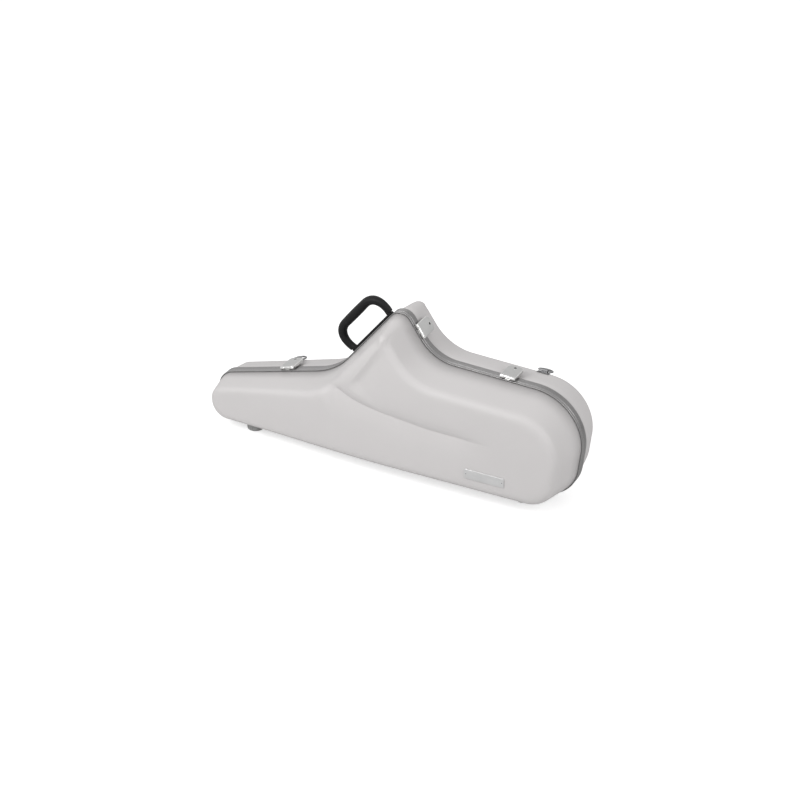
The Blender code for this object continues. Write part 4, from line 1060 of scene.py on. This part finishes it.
def strap_ring(name):
    """D ring of round wire: a bar through the bracket and a bow behind it."""
    inner = RING_HALF_RUN - RING_CORNER
    arcs = (((0.0, RING_DROP - RING_HALF_RUN), RING_HALF_RUN, 0, 2, RING_PIECES),
            ((-inner, RING_CORNER), RING_CORNER, 2, 3, RING_CORNER_PIECES),
            ((inner, RING_CORNER), RING_CORNER, 3, 4, RING_CORNER_PIECES))
    path = np.array([(centre[0] + radius * math.cos(a), centre[1] + radius * math.sin(a))
                     for centre, radius, first, last, pieces in arcs
                     for a in np.linspace(first, last, pieces + 1) * math.pi / 2])
    ahead = np.roll(path, -1, axis=0) - np.roll(path, 1, axis=0)
    loops = []
    for spot, way in zip(path, ahead):
        out = right_of(unit(way))
        loops.append([(*(spot + out * RING_WIRE * math.cos(a)), RING_WIRE * math.sin(a))
                      for a in around(RING_SIDES)])
    return lofted(name, loops + [loops[0]], STEEL, closed=False, sharp=SOFT_SHARP)


for strap, where in STRAP_SHARES.items():
    ring = strap_ring(f"ring_wire_{strap}")
    ring.data.transform(strap_axes(*where))
    settle(ring, f"ring_{strap}", "steel", f"strap_ring_{strap}")

# Feet
FOOT_RADIUS = 0.0205
FOOT_CLEARANCE = 0.0008
FOOT_EDGE = 0.0035
FOOT_SIDES = 48
FOOT_SHARES = {"neck": 0.119, "bow": 0.865}


def foot(name, share, side):
    """Round rubber foot: a rounded lower edge, and a top cut to the shell above it."""
    x = CASE_LENGTH * (share - 0.5)
    y = side * (RAIL_WIDTHS[side] + FOOT_CLEARANCE + FOOT_RADIUS)
    turn = around(FOOT_SIDES)
    loops = []
    for short, height in quarter_round(FOOT_EDGE, 7):
        radius = FOOT_RADIUS - short
        loops.append([(x + radius * math.sin(a), y + radius * math.cos(a), height) for a in turn])
    for radius in (FOOT_RADIUS, FOOT_RADIUS * 0.5, FOOT_RADIUS * 0.1):
        run, across = x + radius * np.sin(turn), y + radius * np.cos(turn)
        top = FOOT_HEIGHT + SHELL_INSET + rounded_inset(np.abs(across), run, side, shell_rim(side)) - GAP
        loops.append(list(zip(run, across, top)))
    return lofted(name, loops, RUBBER)


for end, share in FOOT_SHARES.items():
    settle(foot(f"foot_disc_front_{end}", share, LID), "lid", "grey_rubber", f"foot_front_{end}")
    settle(foot(f"foot_disc_rear_{end}", share, BASE), "base", "grey_rubber", f"foot_rear_{end}")

# Bare plate on the lid
PLATE_LENGTH = 0.098
PLATE_HEIGHT = 0.024
PLATE_THICKNESS = 0.0014
PLATE_SEAT = 2 * GAP
PLATE_EDGE = 0.0006
PLATE_FOOT_EDGE = 0.0001
PLATE_CORNER_SHARE = 0.28
PLATE_RING_SHARES = (0.25, 0.45)
PLATE_PLACE = place((0.797, 0.178))
PLATE_PIN = 0.0011
PLATE_PIN_RISE = PLATE_PIN * 0.4
PLATE_PIN_SIDES = 16
PLATE_PIN_INSET = 0.0048


def on_lid(spots, lift):
    spots = np.array(spots) + PLATE_PLACE
    return [(s[0], -(d + lift), s[1]) for s, d in zip(spots, lid_field.depth(spots))]


def bare_plate():
    half_run, half_rise = PLATE_LENGTH / 2, PLATE_HEIGHT / 2
    corner = half_rise * PLATE_CORNER_SHARE
    high = PLATE_SEAT + PLATE_THICKNESS
    levels = [(PLATE_FOOT_EDGE, PLATE_SEAT), (0.0, PLATE_SEAT + PLATE_FOOT_EDGE)]
    levels += [(inset, high - drop) for drop, inset in quarter_round(PLATE_EDGE, 5)]
    levels += [(PLATE_HEIGHT * share, high) for share in PLATE_RING_SHARES]
    loops = [on_lid(rounded_plan(half_run, -half_rise, half_rise, inset, corner, corner), lift)
             for inset, lift in levels]
    return lofted("bare_plate", loops, PLATE)


def plate_pin(name, x):
    """Round-headed drive pin at an end of the plate."""
    seat = PLATE_SEAT + PLATE_THICKNESS
    loops = []
    for angle in np.linspace(0.0, math.pi / 2.2, 5):
        radius = PLATE_PIN * math.cos(angle)
        ring = [(x + radius * math.cos(a), radius * math.sin(a)) for a in around(PLATE_PIN_SIDES)]
        loops.append(on_lid(ring, seat + PLATE_PIN_RISE * math.sin(angle)))
    return lofted(name, loops, STEEL)


settle(bare_plate(), "lid", "plate_metal", "badge_plate")
for end, sign in (("left", -1), ("right", 1)):
    settle(plate_pin(f"plate_pin_{end}", sign * (PLATE_LENGTH / 2 - PLATE_PIN_INSET)), "lid", "steel")

# Small metal parts that keep their solids' shapes
KEPT_FINISHES = {"latch_keeper": NICKEL, "latch_bracket": NICKEL, "latch_pin": STEEL,
                 "hinge_": STEEL, "strap_bracket": STEEL}
for name, node in NODES.items():
    finish = next((kept for start, kept in KEPT_FINISHES.items() if name.startswith(start)), None)
    if finish is None:
        continue
    node.data.materials.clear()
    node.data.materials.append(finish)
    edge = node.modifiers.new("edges", "BEVEL")
    edge.width = GAP
    edge.segments = 2
    edge.limit_method = "ANGLE"

# Floor, light and camera
FLOOR_SIZE = 16.0
TARGET = Vector((0.028, 0.0, 0.1661))
# Azimuth and elevation in degrees, and distance
CAMERA_PLACE = (27.0, 29.5, 4.5)
CAMERA_LENS = 88.09
CAMERA_SENSOR = 36.0
CAMERA_SHIFT = (-0.00625, -0.0025)
FLOOR_GREY = 0.72
FLOOR_GLOW = 0.60
AMBIENT = 0.57
BACKDROP = 1.0
LAMP_VALUES = {"main": ((-30.0, 42.0, 2.2), (1.2, 0.9), 22.0), "side": ((68.0, 32.0, 2.4), (1.2, 1.0), 12.5)}


def aimed(name, data, azimuth, elevation, distance):
    """Lamp or camera that looks at the case from the azimuth and elevation, in degrees."""
    turn, rise = math.radians(azimuth), math.radians(elevation)
    way = Vector((math.sin(turn) * math.cos(rise), -math.cos(turn) * math.cos(rise), math.sin(rise)))
    held = linked(name, data)
    held.location = TARGET + way * distance
    held.rotation_euler = way.to_track_quat("Z", "Y").to_euler()
    return held


def add_floor():
    half = FLOOR_SIZE / 2
    made = Nodes("floor_white", (FLOOR_GREY,) * 3, 0.8)
    path = made.tree.nodes.new("ShaderNodeLightPath")
    glow = made.tree.nodes.new("ShaderNodeMath")
    glow.operation = "MULTIPLY"
    made.link(path.outputs["Is Camera Ray"], glow.inputs[0])
    glow.inputs[1].default_value = FLOOR_GLOW
    made.link(glow.outputs[0], made.shader.inputs["Emission Strength"])
    made.set(Emission_Color=(1.0, 1.0, 1.0, 1.0))
    floor = mesh_object("floor", [(-half, -half, 0), (half, -half, 0), (half, half, 0), (-half, half, 0)],
                        [(0, 1, 2, 3)], made.material)


def add_world():
    """White to the camera and in reflections, and a plain grey level as light."""
    world = bpy.data.worlds.new("studio")
    world.use_nodes = True
    bpy.context.scene.world = world
    tree = world.node_tree
    shader = tree.nodes["Background"]
    path = tree.nodes.new("ShaderNodeLightPath")
    seen = path.outputs["Is Camera Ray"]
    for name in ("Is Glossy Ray", "Is Transmission Ray"):
        both = tree.nodes.new("ShaderNodeMath")
        both.operation = "MAXIMUM"
        tree.links.new(seen, both.inputs[0])
        tree.links.new(path.outputs[name], both.inputs[1])
        seen = both.outputs[0]
    level = tree.nodes.new("ShaderNodeMapRange")
    level.inputs["To Min"].default_value = AMBIENT
    level.inputs["To Max"].default_value = BACKDROP
    tree.links.new(seen, level.inputs["Value"])
    tree.links.new(level.outputs["Result"], shader.inputs["Strength"])
    shader.inputs["Color"].default_value = (1.0, 1.0, 1.0, 1.0)


def add_lamp(name, stand, size, power):
    lamp = bpy.data.lights.new(name, "AREA")
    lamp.shape = "RECTANGLE"
    lamp.size, lamp.size_y = size
    lamp.energy = power
    aimed(name, lamp, *stand)


def add_camera():
    data = bpy.data.cameras.new("camera")
    data.lens = CAMERA_LENS
    data.sensor_width = CAMERA_SENSOR
    data.shift_x, data.shift_y = CAMERA_SHIFT
    bpy.context.scene.camera = aimed("camera", data, *CAMERA_PLACE)


add_floor()
add_world()
for name, values in LAMP_VALUES.items():
    add_lamp(name, *values)
add_camera()
bpy.context.scene.view_settings.view_transform = "Standard"
